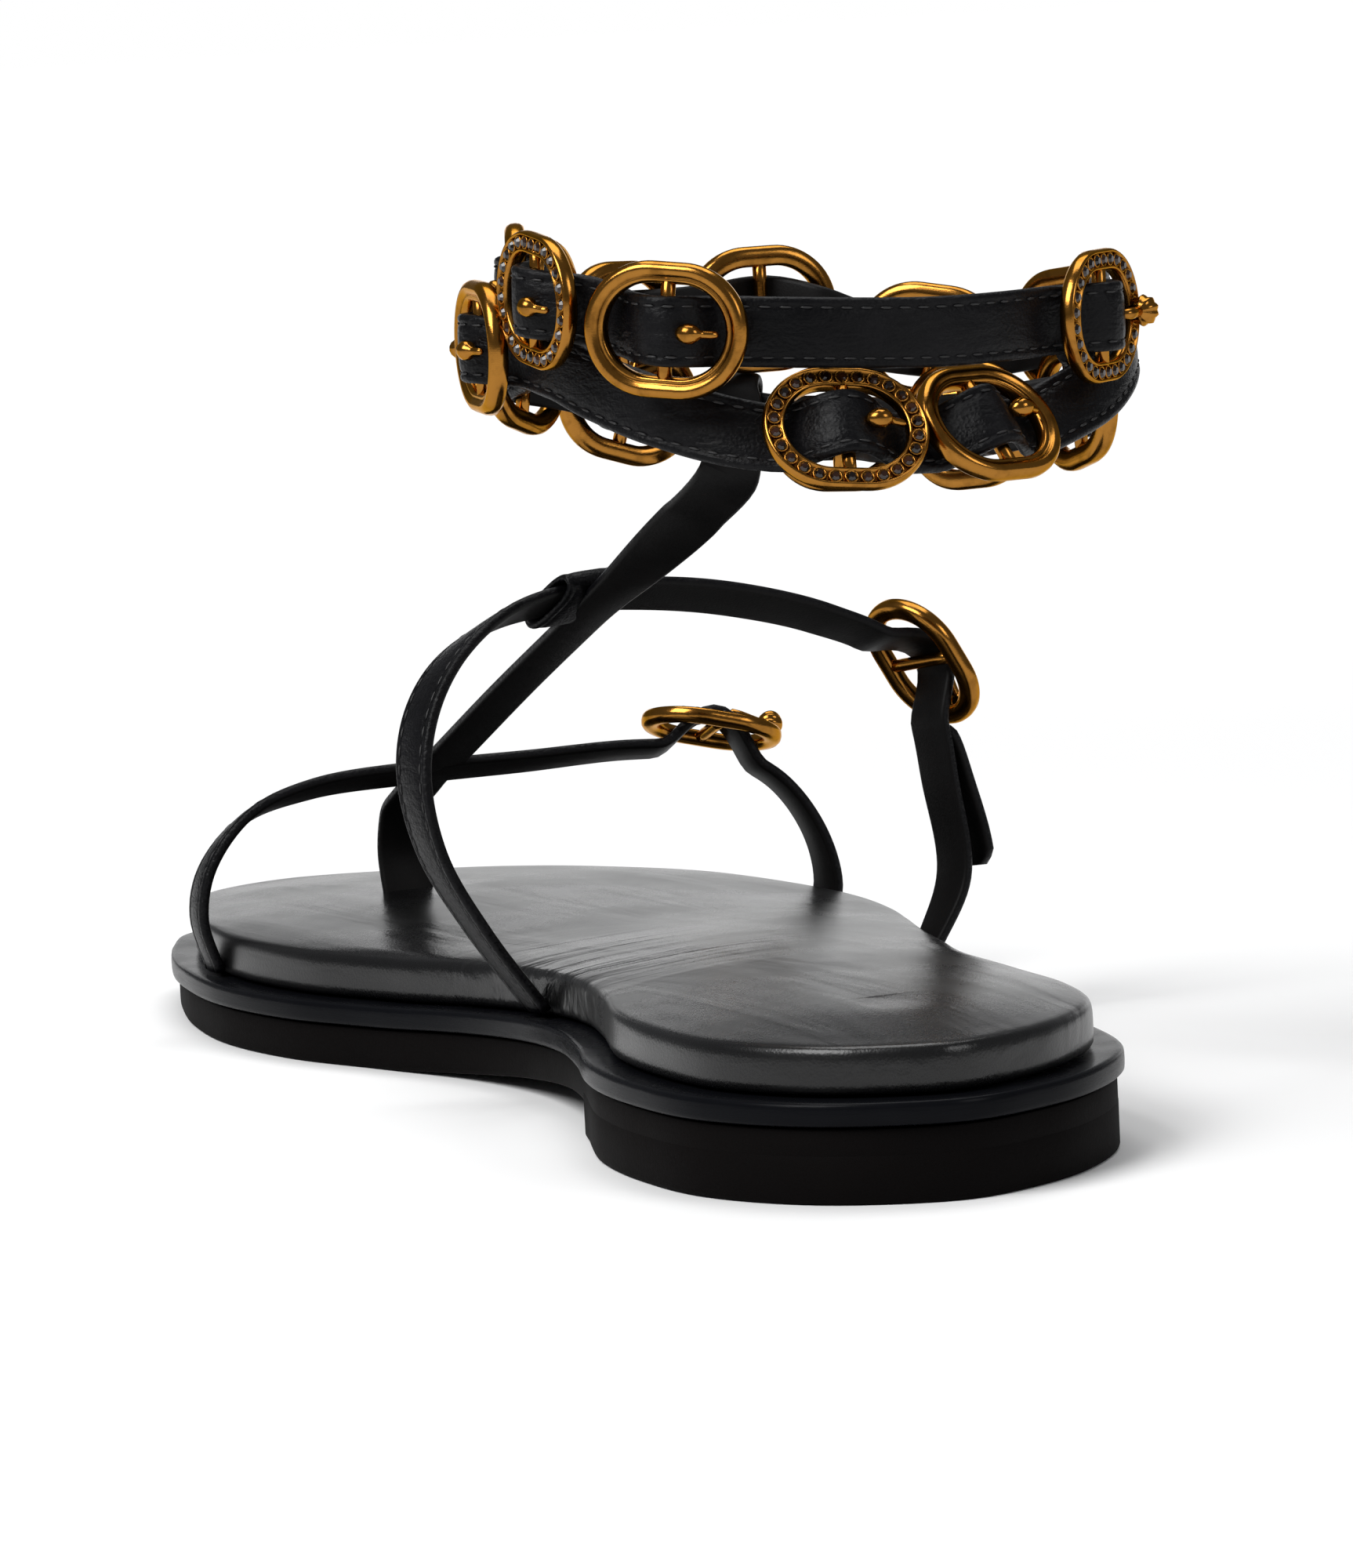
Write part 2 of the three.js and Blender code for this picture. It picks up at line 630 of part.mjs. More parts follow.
// The instep strap's free end: it leaves the strap below the buckle and hangs outside it.
function makeInstepTail() {
  const lastRow = instepStrapRows.length - 1;
  const { pointAt, acrossAt } = archStrapWay(instepStrapRows);
  const steps = 7;
  const shares = Array.from(
    { length: steps + 1 },
    (_, i) => THREE.MathUtils.lerp(instepTail.fromRow, instepTail.toRow, i / steps) / lastRow,
  );
  const onStrap = framesAlong(shares.map(pointAt), (i) => acrossAt(shares[i]));
  const points = onStrap.map((frame, i) => {
    const away = THREE.MathUtils.lerp(0.5, instepTail.away, Math.sqrt(i / steps));
    return frame.point.clone().addScaledVector(frame.out, away);
  });
  const widths = points.map((_, i) => (i === steps ? instepTail.endWidth : strapWidth - 0.3));
  return ribbon(framesAlong(points, (i) => acrossAt(shares[i])), widths, strapThickness);
}

// ---------------------------------------------------------------- ring buckles

// An oval ring with an upright bar, and a pin from the strap to the rim with a round bead on it.
// Made lying in its own plane: x along the strap, y across it, z outwards.
function makeRingBuckle(bead, beadX, beadZ) {
  const endRadius = ringHeight / 2 - ringTube;
  const straight = (ringWidth - ringHeight) / 2;
  const rim = new THREE.TorusGeometry(endRadius, ringTube, 5, 18);
  const place = rim.attributes.position;
  for (let i = 0; i < place.count; i += 1) {
    const x = place.getX(i);
    if (Math.abs(x) > 1e-3) place.setX(i, x + Math.sign(x) * straight);
  }
  const bar = new THREE.CylinderGeometry(barRadius, barRadius, 2 * endRadius, 6);
  const rimX = endRadius + straight;
  const pinStart = new THREE.Vector3(3.4, 0, 2.9);
  const pinEnd = new THREE.Vector3(rimX, 0, ringTube + 0.3);
  const pinPath = new THREE.LineCurve3(pinStart, pinEnd);
  const pinSection = new THREE.Shape();
  pinSection.absarc(0, 0, pinRadius, 0, 2 * Math.PI);
  const pin = new THREE.ExtrudeGeometry(pinSection, { steps: 1, extrudePath: pinPath, curveSegments: 3 });
  const ball = new THREE.SphereGeometry(bead, 6, 4);
  ball.rotateX(Math.PI / 2);
  ball.translate(beadX, 0, beadZ);
  return joined([rim, bar, pin, ball]);
}

function setOnStrap(geometry, frame) {
  const basis = new THREE.Matrix4().makeBasis(frame.along, frame.across, frame.out);
  if (basis.determinant() < 0) basis.makeBasis(frame.along, frame.across.clone().negate(), frame.out);
  return geometry.clone().applyMatrix4(basis.setPosition(frame.point));
}

// ---------------------------------------------------------------- the sandal

const looks = {
  rubber: { color: 0x1d1a1a, roughness: 0.75, metalness: 0 },
  band: { color: 0x1f2228, roughness: 0.35, metalness: 0 },
  leather: { color: 0x121214, roughness: 0.45, metalness: 0 },
  gold: { color: 0xb88a45, roughness: 0.3, metalness: 1 },
};

const sandal = new THREE.Group();

function addPiece(name, geometry, look) {
  const mesh = new THREE.Mesh(geometry, new THREE.MeshStandardMaterial(looks[look]));
  mesh.name = name;
  sandal.add(mesh);
}

addPiece('outsole', makeOutsole(), 'rubber');
addPiece('midsole_band', makeMidsoleBand(), 'band');
addPiece('footbed', makeFootbed(), 'leather');

const toe = makeArchStrap(toeStrapRows, toeBuckleRow);
const instep = makeArchStrap(instepStrapRows, instepBuckleRow);
const footStraps = [makeMiddleStrap(), toe.geometry, instep.geometry, makeInstepTail()];
addPiece('upper_straps', joined(footStraps), 'leather');

const ankle = makeAnkleStrap();
addPiece('ankle_strap', ankle.geometry, 'leather');

const ringBuckle = makeRingBuckle(beadRadius, 3.7, 2.8);
const closingBuckle = makeRingBuckle(closingBeadRadius, 8.5, 1.9);
addPiece('ring_toe', setOnStrap(closingBuckle, toe.rings[0]), 'gold');
addPiece('ring_instep', setOnStrap(closingBuckle, instep.rings[0]), 'gold');
ankleRings.forEach((ring, i) => {
  const shape = ring.name === 'ring_closing' ? closingBuckle : ringBuckle;
  addPiece(ring.name, setOnStrap(shape, ankle.rings[i]), 'gold');
});

export default sandal;
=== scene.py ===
import math
from contextlib import contextmanager

import bmesh
import bpy
import numpy as np
from mathutils import Matrix, Vector


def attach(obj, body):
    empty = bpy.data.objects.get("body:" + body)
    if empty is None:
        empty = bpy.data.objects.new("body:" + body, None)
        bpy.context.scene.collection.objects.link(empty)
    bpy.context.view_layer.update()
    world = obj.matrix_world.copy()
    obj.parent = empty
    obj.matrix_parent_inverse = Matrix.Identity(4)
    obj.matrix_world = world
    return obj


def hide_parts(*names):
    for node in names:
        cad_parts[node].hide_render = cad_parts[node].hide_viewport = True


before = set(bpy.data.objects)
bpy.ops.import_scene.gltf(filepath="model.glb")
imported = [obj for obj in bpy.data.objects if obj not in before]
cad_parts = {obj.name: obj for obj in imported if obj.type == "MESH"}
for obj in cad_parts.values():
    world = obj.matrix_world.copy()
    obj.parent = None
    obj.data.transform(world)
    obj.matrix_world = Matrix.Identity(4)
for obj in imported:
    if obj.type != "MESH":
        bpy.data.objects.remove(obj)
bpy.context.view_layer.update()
mm = 0.001
print("frame loaded")


view = {
    "place": (-0.4133, -0.8928, 0.1628),
    "ahead": (0.39516, 0.91131, -0.11563),
    "up": (0.09116, 0.08635, 0.99209),
    "lens": 182.8,
}


def makeCamera():
    data = bpy.data.cameras.new("camera")
    data.lens = view["lens"]
    data.sensor_width = 36
    data.clip_start = 0.05
    data.clip_end = 20
    ahead = Vector(view["ahead"]).normalized()
    right = ahead.cross(Vector(view["up"])).normalized()
    up = right.cross(ahead)
    turn = Matrix((right, up, -ahead)).transposed().to_4x4()
    camera = bpy.data.objects.new("camera", data)
    camera.matrix_world = Matrix.Translation(Vector(view["place"])) @ turn
    bpy.context.scene.collection.objects.link(camera)
    bpy.context.scene.camera = camera


makeCamera()


# One socket, so that arithmetic on it adds Math nodes.
class Signal:
    def __init__(self, graph, socket):
        self.graph = graph
        self.socket = socket

    def maths(self, operation, first, second):
        return self.graph.out(self.graph.node("ShaderNodeMath", {0: first, 1: second}, operation=operation))

    def __add__(self, other):
        return self.maths("ADD", self, other)

    def __radd__(self, other):
        return self.maths("ADD", other, self)

    def __sub__(self, other):
        return self.maths("SUBTRACT", self, other)

    def __rsub__(self, other):
        return self.maths("SUBTRACT", other, self)

    def __mul__(self, other):
        return self.maths("MULTIPLY", self, other)

    def __rmul__(self, other):
        return self.maths("MULTIPLY", other, self)


# A node tree, filled one node at a time.
class Graph:
    def __init__(self, tree):
        self.tree = tree

    # Settings first, then a ramp's stops, then the values or links of the sockets.
    def node(self, kind, sockets=None, stops=(), **settings):
        made = self.tree.nodes.new(kind)
        for name, value in settings.items():
            setattr(made, name, value)
        for element, (place, height) in zip(made.color_ramp.elements if stops else (), stops):
            element.position = place
            element.color = (height, height, height, 1)
        for name, value in (sockets or {}).items():
            socket = made.inputs[name]
            if isinstance(value, Signal):
                self.tree.links.new(value.socket, socket)
            elif socket.type == "RGBA":
                socket.default_value = (*value, 1)
            else:
                socket.default_value = value
        return made

    def out(self, made, name=0):
        return Signal(self, made.outputs[name])

    # A colour between two others.
    def blended(self, factor, low, high):
        return self.out(self.node("ShaderNodeMix", {0: factor, 6: low, 7: high}, data_type="RGBA"), 2)

    # A number reshaped by a ramp of (place, height) stops.
    def steps(self, value, *stops):
        return self.out(self.node("ShaderNodeValToRGB", {"Fac": value}, stops), "Color")


# A material with one Principled shader, whose fixed sockets are given by name.
class Finish(Graph):
    def __init__(self, name, **fixed):
        self.material = bpy.data.materials.new(name)
        self.material.use_nodes = True
        super().__init__(self.material.node_tree)
        self.shader = self.tree.nodes["Principled BSDF"]
        for socket, value in fixed.items():
            wanted = self.shader.inputs[socket.replace("_", " ")]
            wanted.default_value = (*value, 1) if wanted.type == "RGBA" else value

    def coordinates(self):
        return self.out(self.node("ShaderNodeTexCoord"), "Object")

    # Object coordinates in millimetres, stretched by scale.
    def place(self, scale=(1, 1, 1)):
        sizes = tuple(part / mm for part in scale)
        return self.out(self.node("ShaderNodeMapping", {"Vector": self.coordinates(), "Scale": sizes}))

    # Distance from a point, in metres.
    def distanceFrom(self, point):
        sockets = {0: self.coordinates(), 1: point}
        return self.out(self.node("ShaderNodeVectorMath", sockets, operation="DISTANCE"), "Value")

    def noise(self, where, scale, detail=4.0, roughness=0.5, distortion=0.0):
        sockets = dict(Vector=where, Scale=scale, Detail=detail, Roughness=roughness, Distortion=distortion)
        return self.out(self.node("ShaderNodeTexNoise", sockets), "Fac")

    def cells(self, where, scale):
        return self.out(self.node("ShaderNodeTexVoronoi", {"Vector": where, "Scale": scale}), "Distance")

    # Bump from a height in 0..1, over another one when there is one.
    def relief(self, height, strength, distance, under=None):
        sockets = {"Height": height, "Strength": strength, "Distance": distance * mm}
        if under is not None:
            sockets["Normal"] = under
        return self.out(self.node("ShaderNodeBump", sockets))

    def feed(self, **links):
        for name, value in links.items():
            self.tree.links.new(value.socket, self.shader.inputs[name.replace("_", " ")])


leather = {
    "colour": (0.0012, 0.0012, 0.0017),
    "worn": (0.0042, 0.004, 0.005),
    "ior": 1.22,
    "grainSize": 0.5,
    "grainDepth": 0.1,
    "roughness": 0.4,
}


def strapLeather():
    finish = Finish("strapLeather", IOR=leather["ior"])
    where = finish.place()
    grain = finish.cells(where, 1 / leather["grainSize"])
    fine = finish.noise(where, 4.0, 3.0)
    patches = finish.noise(where, 0.12, 4.0, 0.6)
    creases = finish.noise(finish.place((0.5, 0.5, 1.6)), 0.5, 5.0, 0.62, 0.8)
    worn = finish.steps(patches + 0.25 * fine, (0.52, 0.0), (0.85, 1.0))
    colour = finish.blended(worn, leather["colour"], leather["worn"])
    rough = leather["roughness"] + 0.14 * (patches - 0.5) + 0.1 * (grain - 0.5)
    soft = finish.relief(creases, 0.5, 0.5)
    pores = finish.relief(grain + 0.5 * fine, 0.5, leather["grainDepth"], soft)
    finish.feed(Base_Color=colour, Roughness=rough, Normal=pores)
    return finish.material


# Plainer finishes. Grain and patches give a noise's scale, detail and roughness, and the two
# variations say how far each of them moves the roughness.
lining = {
    "name": "strapLining",
    "dark": (0.0022, 0.0021, 0.0022),
    "pale": (0.0055, 0.005, 0.005),
    "ior": 1.2,
    "grain": (3.0, 4.0, 0.6),
    "stretch": (1, 1, 1),
    "patches": (0.15, 3.0),
    "roughness": 0.48,
    "variations": (0.0, 0.15),
    "relief": (0.35, 0.1),
}
edgePaint = {
    "name": "edgePaint",
    "dark": (0.0022, 0.0023, 0.003),
    "pale": (0.0052, 0.0056, 0.0072),
    "ior": 1.13,
    "grain": (0.6, 4.0, 0.6),
    "stretch": (0.25, 0.25, 3.0),
    "patches": (0.08, 3.0),
    "roughness": 0.27,
    "variations": (0.14, 0.1),
    "relief": (0.25, 0.12),
}
rubber = {
    "name": "soleRubber",
    "dark": (0.0016, 0.0012, 0.0012),
    "pale": (0.0036, 0.0028, 0.0027),
    "ior": 1.12,
    "grain": (2.2, 5.0, 0.65),
    "stretch": (1, 1, 1),
    "patches": (0.06, 4.0, 0.6),
    "roughness": 0.66,
    "variations": (0.1, 0.18),
    "relief": (0.35, 0.12),
}


def mottled(look):
    finish = Finish(look["name"], IOR=look["ior"])
    grain = finish.noise(finish.place(look["stretch"]), *look["grain"])
    patches = finish.noise(finish.place(), *look["patches"])
    colour = finish.blended(patches, look["dark"], look["pale"])
    fine, broad = look["variations"]
    rough = look["roughness"] + fine * (grain - 0.5) + broad * (patches - 0.5)
    finish.feed(Base_Color=colour, Roughness=rough, Normal=finish.relief(grain, *look["relief"]))
    return finish.material


footbedLook = {
    "colour": (0.0023, 0.0023, 0.0026),
    "worn": (0.0048, 0.0047, 0.005),
    "ior": 1.45,
    "roughness": 0.28,
    "gatherPlace": (-0.014, 0.072, 0.017),
    "gatherReach": 0.042,
}


def footbedLeather():
    finish = Finish("footbedLeather", IOR=footbedLook["ior"])
    where = finish.place()
    grain = finish.cells(where, 2.6)
    fine = finish.noise(where, 5.0, 3.0)
    patches = finish.noise(where, 0.045, 4.0, 0.55)
    along = finish.noise(finish.place((1.0, 0.16, 1.0)), 0.09, 3.0, 0.5, 0.6)
    pull = finish.noise(finish.place((0.16, 1.0, 1.0)), 0.16, 3.0, 0.5, 0.5)
    away = finish.distanceFrom(footbedLook["gatherPlace"]) * (1 / footbedLook["gatherReach"])
    near = finish.steps(away, (0.1, 1.0), (1.0, 0.0))
    colour = finish.blended(patches, footbedLook["colour"], footbedLook["worn"])
    rough = footbedLook["roughness"] + 0.16 * (patches - 0.5) + 0.08 * (fine - 0.5)
    slow = finish.relief(along, 0.28, 1.6)
    gather = finish.relief(pull * near, 0.55, 1.6, slow)
    pores = finish.relief(grain + 0.6 * fine, 0.3, 0.05, gather)
    finish.feed(Base_Color=colour, Roughness=rough, Normal=pores)
    return finish.material


gold = {
    "bright": (0.34, 0.15, 0.027),
    "tarnish": (0.036, 0.011, 0.0012),
    "tint": (1.0, 0.74, 0.44),
    "roughness": 0.18,
}


def antiqueGold(name, rougher=0.0):
    finish = Finish(name, Metallic=1.0, Specular_Tint=gold["tint"])
    where = finish.place()
    patches = finish.noise(where, 0.35, 5.0, 0.6)
    brushed = finish.noise(finish.place((0.6, 0.6, 2.5)), 3.0, 4.0, 0.6)
    corners = finish.out(finish.node("ShaderNodeNewGeometry"), "Pointiness")
    recess = finish.steps(corners, (0.44, 1.0), (0.5, 0.0))
    dark = finish.steps(patches + 0.55 * recess, (0.5, 0.0), (0.98, 1.0))
    colour = finish.blended(dark, gold["bright"], gold["tarnish"])
    rough = gold["roughness"] + rougher + 0.16 * (patches - 0.5) + 0.22 * recess
    finish.feed(Base_Color=colour, Roughness=rough, Normal=finish.relief(brushed, 0.12, 0.08))
    return finish.material


crystal = {"dark": (0.004, 0.0015, 0.001), "pale": (0.03, 0.009, 0.003), "level": 0.45, "ior": 1.6}


def smokyCrystal():
    finish = Finish("smokyCrystal", Specular_IOR_Level=crystal["level"], IOR=crystal["ior"])
    tone = finish.noise(finish.place(), 0.45, 2.0, 0.5)
    colour = finish.blended(finish.steps(tone, (0.42, 0.0), (0.62, 1.0)), crystal["dark"], crystal["pale"])
    finish.feed(Base_Color=colour, Roughness=0.05 + 0.1 * tone)
    return finish.material


thread = {"dark": (0.004, 0.004, 0.0045), "pale": (0.016, 0.0155, 0.016), "level": 0.4, "roughness": 0.5}


def waxedThread():
    finish = Finish("waxedThread", Specular_IOR_Level=thread["level"])
    twist = finish.noise(finish.place(), 9.0, 3.0)
    colour = finish.blended(twist, thread["dark"], thread["pale"])
    rough = thread["roughness"] + 0.2 * (twist - 0.5)
    finish.feed(Base_Color=colour, Roughness=rough, Normal=finish.relief(twist, 0.4, 0.05))
    return finish.material


strapFinish = strapLeather()
liningFinish = mottled(lining)
footbedFinish = footbedLeather()
bandFinish = mottled(edgePaint)
rubberFinish = mottled(rubber)
goldFinish = antiqueGold("antiqueGold")
beadFinish = antiqueGold("antiqueGoldBeads", 0.08)
crystalFinish = smokyCrystal()
threadFinish = waxedThread()
print("materials ready")


# A curve through a table's rows, keyed by the first column, that never overshoots.
def smoothTable(rows, column):
    keys = [row[0] for row in rows]
    values = [row[column] for row in rows]
    slopes = [(values[i + 1] - values[i]) / (keys[i + 1] - keys[i]) for i in range(len(rows) - 1)]
    tangents = [slopes[0]]
    for before, after in zip(slopes, slopes[1:]):
        tangents.append(0 if before * after <= 0 else 2 * before * after / (before + after))
    tangents.append(slopes[-1])

    def at(key):
        i = min(max(int(np.searchsorted(keys, key, side="right")) - 1, 0), len(rows) - 2)
        span = keys[i + 1] - keys[i]
        t = min(max((key - keys[i]) / span, 0), 1)
        start = (1 + 2 * t) * (1 - t) ** 2 * values[i] + t * (1 - t) ** 2 * span * tangents[i]
        end = t * t * (3 - 2 * t) * values[i + 1] + t * t * (t - 1) * span * tangents[i + 1]
        return start + end

    return at


# A centripetal curve through points, by a share from 0 to 1.
def threadedCurve(points, closed):
    points = [np.array(point, float) for point in points]
    count = len(points)

    def pick(i):
        if closed:
            return points[i % count]
        if i < 0:
            return 2 * points[0] - points[1]
        if i >= count:
            return 2 * points[-1] - points[-2]
        return points[i]

    def at(share):
        place = share * (count if closed else count - 1)
        i = int(math.floor(place))
        if not closed:
            i = min(max(i, 0), count - 2)
        t = place - i
        p0, p1, p2, p3 = (pick(i + k) for k in (-1, 0, 1, 2))
        d0, d1, d2 = (max(np.linalg.norm(b - a), 1e-6) ** 0.5 for a, b in ((p0, p1), (p1, p2), (p2, p3)))
        m1 = ((p1 - p0) / d0 - (p2 - p0) / (d0 + d1) + (p2 - p1) / d1) * d1
        m2 = ((p2 - p1) / d1 - (p3 - p1) / (d1 + d2) + (p3 - p2) / d2) * d1
        return (
            p1 + m1 * t + (3 * (p2 - p1) - 2 * m1 - m2) * t * t + (2 * (p1 - p2) + m1 + m2) * t ** 3
        )

    return at


# Opens a mesh for editing and writes it back.
@contextmanager
def opened(mesh):
    shape = bmesh.new()
    shape.from_mesh(mesh)
    yield shape
    shape.to_mesh(mesh)
    shape.free()


# Faces of a tube of rings of points, counted from start: closed on itself, or capped at both ends.
def tubeFaces(start, rings, count, closed=False):
    faces = []
    for i in range(rings if closed else rings - 1):
        low, high = start + i * count, start + (i + 1) % rings * count
        faces += [(low + k, low + (k + 1) % count, high + (k + 1) % count, high + k) for k in range(count)]
    if not closed:
        faces += [tuple(range(first, first + count)) for first in (start, start + (rings - 1) * count)]
    return faces


# A mesh piece from points in millimetres.
def meshObject(name, verts, faces, finishes, faceFinish=None):
    mesh = bpy.data.meshes.new(name)
    mesh.from_pydata([tuple(mm * np.array(vert)) for vert in verts], [], faces)
    for finish in finishes:
        mesh.materials.append(finish)
    if faceFinish is not None:
        mesh.polygons.foreach_set("material_index", faceFinish)
    with opened(mesh) as shape:
        bmesh.ops.remove_doubles(shape, verts=shape.verts, dist=1e-7)
        bmesh.ops.recalc_face_normals(shape, faces=shape.faces)
    mesh.polygons.foreach_set("use_smooth", [True] * len(mesh.polygons))
    return inScene(name, mesh)


def inScene(name, data):
    made = bpy.data.objects.new(name, data)
    bpy.context.scene.collection.objects.link(made)
    return made


# Turns the result of an object's modifiers into its own mesh.
def plainMesh(made):
    bpy.context.view_layer.update()
    graph = bpy.context.evaluated_depsgraph_get()
    ready = made.evaluated_get(graph)
    result = bpy.data.meshes.new_from_object(ready, preserve_all_data_layers=True, depsgraph=graph)
    made.modifiers.clear()
    made.data = result
    return made


# Every piece rides on the one body; nodes are the ones it stands in for.
def addPiece(made, slot, *nodes):
    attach(made, "root")
    if nodes:
        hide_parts(*nodes)
    return made


# A geometry node tree with named inputs, its graph keeping their identifiers, and its input node.
def growingTree(name, **inputs):
    tree = bpy.data.node_groups.new(name, "GeometryNodeTree")
    tree.interface.new_socket("Geometry", in_out="INPUT", socket_type="NodeSocketGeometry")
    graph = Graph(tree)
    graph.inputs = {}
    for label, kind in inputs.items():
        socket = tree.interface.new_socket(label, in_out="INPUT", socket_type="NodeSocket" + kind)
        graph.inputs[label] = socket.identifier
    tree.interface.new_socket("Geometry", in_out="OUTPUT", socket_type="NodeSocketGeometry")
    return graph, graph.node("NodeGroupInput")


def namedVector(graph, name):
    made = graph.node("GeometryNodeInputNamedAttribute", {"Name": name}, data_type="FLOAT_VECTOR")
    return graph.out(made, "Attribute")


# A rotation whose X follows along and whose Z looks outward.
def turnedTo(graph, along, outward):
    kind = "FunctionNodeAlignRotationToVector"
    first = graph.node(kind, {"Vector": along}, axis="X", pivot_axis="AUTO")
    sockets = {"Rotation": graph.out(first), "Vector": outward}
    return graph.out(graph.node(kind, sockets, axis="Z", pivot_axis="X"))


def finishTree(graph, points, unitShape, rotation, finish, smooth, scale=(1, 1, 1)):
    sockets = {"Points": points, "Instance": unitShape, "Rotation": rotation, "Scale": scale}
    placed = graph.node("GeometryNodeInstanceOnPoints", sockets)
    real = graph.node("GeometryNodeRealizeInstances", {"Geometry": graph.out(placed)})
    shaded = graph.node("GeometryNodeSetShadeSmooth", {"Geometry": graph.out(real), "Shade Smooth": smooth})
    painted = graph.node("GeometryNodeSetMaterial", {"Geometry": graph.out(shaded), "Material": finish})
    graph.node("NodeGroupOutput", {0: graph.out(painted)})
    return graph


# Even places along a guide's lines, each turned along its line with Z outwards.
def evenPlaces(graph, start, mode, label):
    line = graph.node("GeometryNodeMeshToCurve", {"Mesh": graph.out(start, "Geometry")})
    sockets = {"Curve": graph.out(line), mode.capitalize(): graph.out(start, label)}
    places = graph.node("GeometryNodeResampleCurve", sockets, mode=mode)
    tangent = graph.out(graph.node("GeometryNodeInputTangent"))
    return graph.out(places), turnedTo(graph, tangent, namedVector(graph, "outward"))


# Points and edges in millimetres with a vector attribute for each name in vectors.
def guideMesh(name, points, edges, vectors):
    mesh = bpy.data.meshes.new(name)
    mesh.from_pydata([tuple(mm * np.array(point)) for point in points], edges, [])
    for label, values in vectors.items():
        layer = mesh.attributes.new(label, "FLOAT_VECTOR", "POINT")
        layer.data.foreach_set("vector", np.array(values, float).ravel())
    return inScene(name, mesh)


# Runs a tree on its guide and leaves the result as the guide's own mesh.
def grown(guide, graph, values):
    modifier = guide.modifiers.new("grow", "NODES")
    modifier.node_group = graph.tree
    for label, value in values.items():
        modifier[graph.inputs[label]] = value
    return plainMesh(guide)


# place along the foot, inner edge, outer edge
outlineRows = [
    (-31.5, -15.5, 6.5), (-25, -23.6, 16.2), (-12, -30.6, 26.6), (4, -32.1, 31.2),
    (20, -30.4, 32.4), (38, -24.6, 34), (56, -19.4, 39.2), (76, -16.5, 45.6),
    (94, -17.8, 51.8), (112, -23.2, 57.2), (130, -29.6, 59.5), (150, -32, 58.4),
    (170, -29.6, 55), (186, -25.4, 49.6), (199, -20.4, 40), (208.5, -14.6, 25.5),
]
# place along the foot, underside of the rubber, top of the band
profileRows = [
    (-36, 5.2, 12.7), (28, 5.0, 12.7), (50, 4.2, 12.0), (76, 2.4, 10.6), (100, 0.6, 9.4),
    (114, 0, 8.9), (166, 0, 8.6), (190, 0.5, 8.1), (216, 1.6, 8.2),
]
sole = {
    "heelBack": (-5, -35),
    "toeTip": (2, 215),
    "bandHeight": 3.0,
    "bandProud": 1.0,
    "air": 0.3,
    "padHeight": 6.2,
    "padCrown": 1.5,
    "breast": ((-34, 42.6), (40, 20.8)),
    "liftSeam": 6.3,
    "spineEnds": (-2, 172),
    "steps": 420,
}
underside = smoothTable(profileRows, 1)
bandTop = smoothTable(profileRows, 2)
outlineCurve = threadedCurve(
    [sole["heelBack"], *((row[1], row[0]) for row in outlineRows), sole["toeTip"],
     *((row[2], row[0]) for row in reversed(outlineRows))],
    True,
)


# The outsole's edge and its outward directions, evenly spaced.
def outlineLoop():
    fine = np.array([outlineCurve(i / 4000) for i in range(4000)])
    steps = np.linalg.norm(np.roll(fine, -1, 0) - fine, axis=1)
    reach = np.concatenate([[0], np.cumsum(steps)])
    wanted = np.linspace(0, reach[-1], sole["steps"], endpoint=False)
    closed = np.vstack([fine, fine[:1]])
    points = np.stack([np.interp(wanted, reach, closed[:, k]) for k in (0, 1)], 1)
    ahead = np.roll(points, -1, 0) - np.roll(points, 1, 0)
    ahead /= np.linalg.norm(ahead, axis=1)[:, None]
    return points, np.stack([-ahead[:, 1], ahead[:, 0]], 1)


edgePoints, edgeOut = outlineLoop()
spineY = np.clip(edgePoints[:, 1], *sole["spineEnds"])
innerEdge = smoothTable(outlineRows, 1)
outerEdge = smoothTable(outlineRows, 2)
spine = np.stack([[(innerEdge(y) + outerEdge(y)) / 2 for y in spineY], spineY], 1)


# A closed layer of the sole. Each level is (offset, share kept from the spine, height along the foot).
def soleLoft(name, levels, finish):
    verts = []
    for offset, kept, height in levels:
        loop = edgePoints + edgeOut * offset
        loop = spine + (loop - spine) * kept
        verts += [(x, y, height(y)) for x, y in loop]
    made = meshObject(name, verts, tubeFaces(0, len(levels), sole["steps"]), [finish])
    with opened(made.data) as shape:
        caps = [face for face in shape.faces if len(face.verts) > 4]
        bmesh.ops.triangulate(shape, faces=caps, ngon_method="BEAUTY")
    return made


# shares kept from the spine on the way in over a flat face
inward = (0.92, 0.8, 0.65, 0.5, 0.35, 0.2, 0.06)


# Ground pattern, cut into the rubber: a herringbone of slatted bricks inside an oval under the
# forefoot, and fine ribs under the heel lift.
tread = {
    "brick": 6.47,
    "turn": 40,
    "middle": (16.0, 148.0),
    "reach": 72,
    "columns": 14,
    "groove": 0.85,
    "slats": 4,
    "slatGroove": 0.4,
    "slatHeight": 8,
    "depth": 0.6,
    "below": 2,
    "edgeSteps": 150,
    "ribs": (2, 80),
    "ribPitch": 1.2,
    "ribWidth": 0.42,
    "ribDepth": 0.3,
    "heelMargin": 3.2,
    "shortestRib": 4,
}
treadEdge = [
    (29, 90), (8, 96), (-2.4, 103), (-13.9, 117), (-19.3, 136), (-18.9, 155), (-14.5, 176), (-7.7, 195),
    (1.3, 205), (13, 204.6), (28.5, 195.6), (41, 176), (49, 151), (50.9, 131.5), (50, 121), (46.6, 102),
]


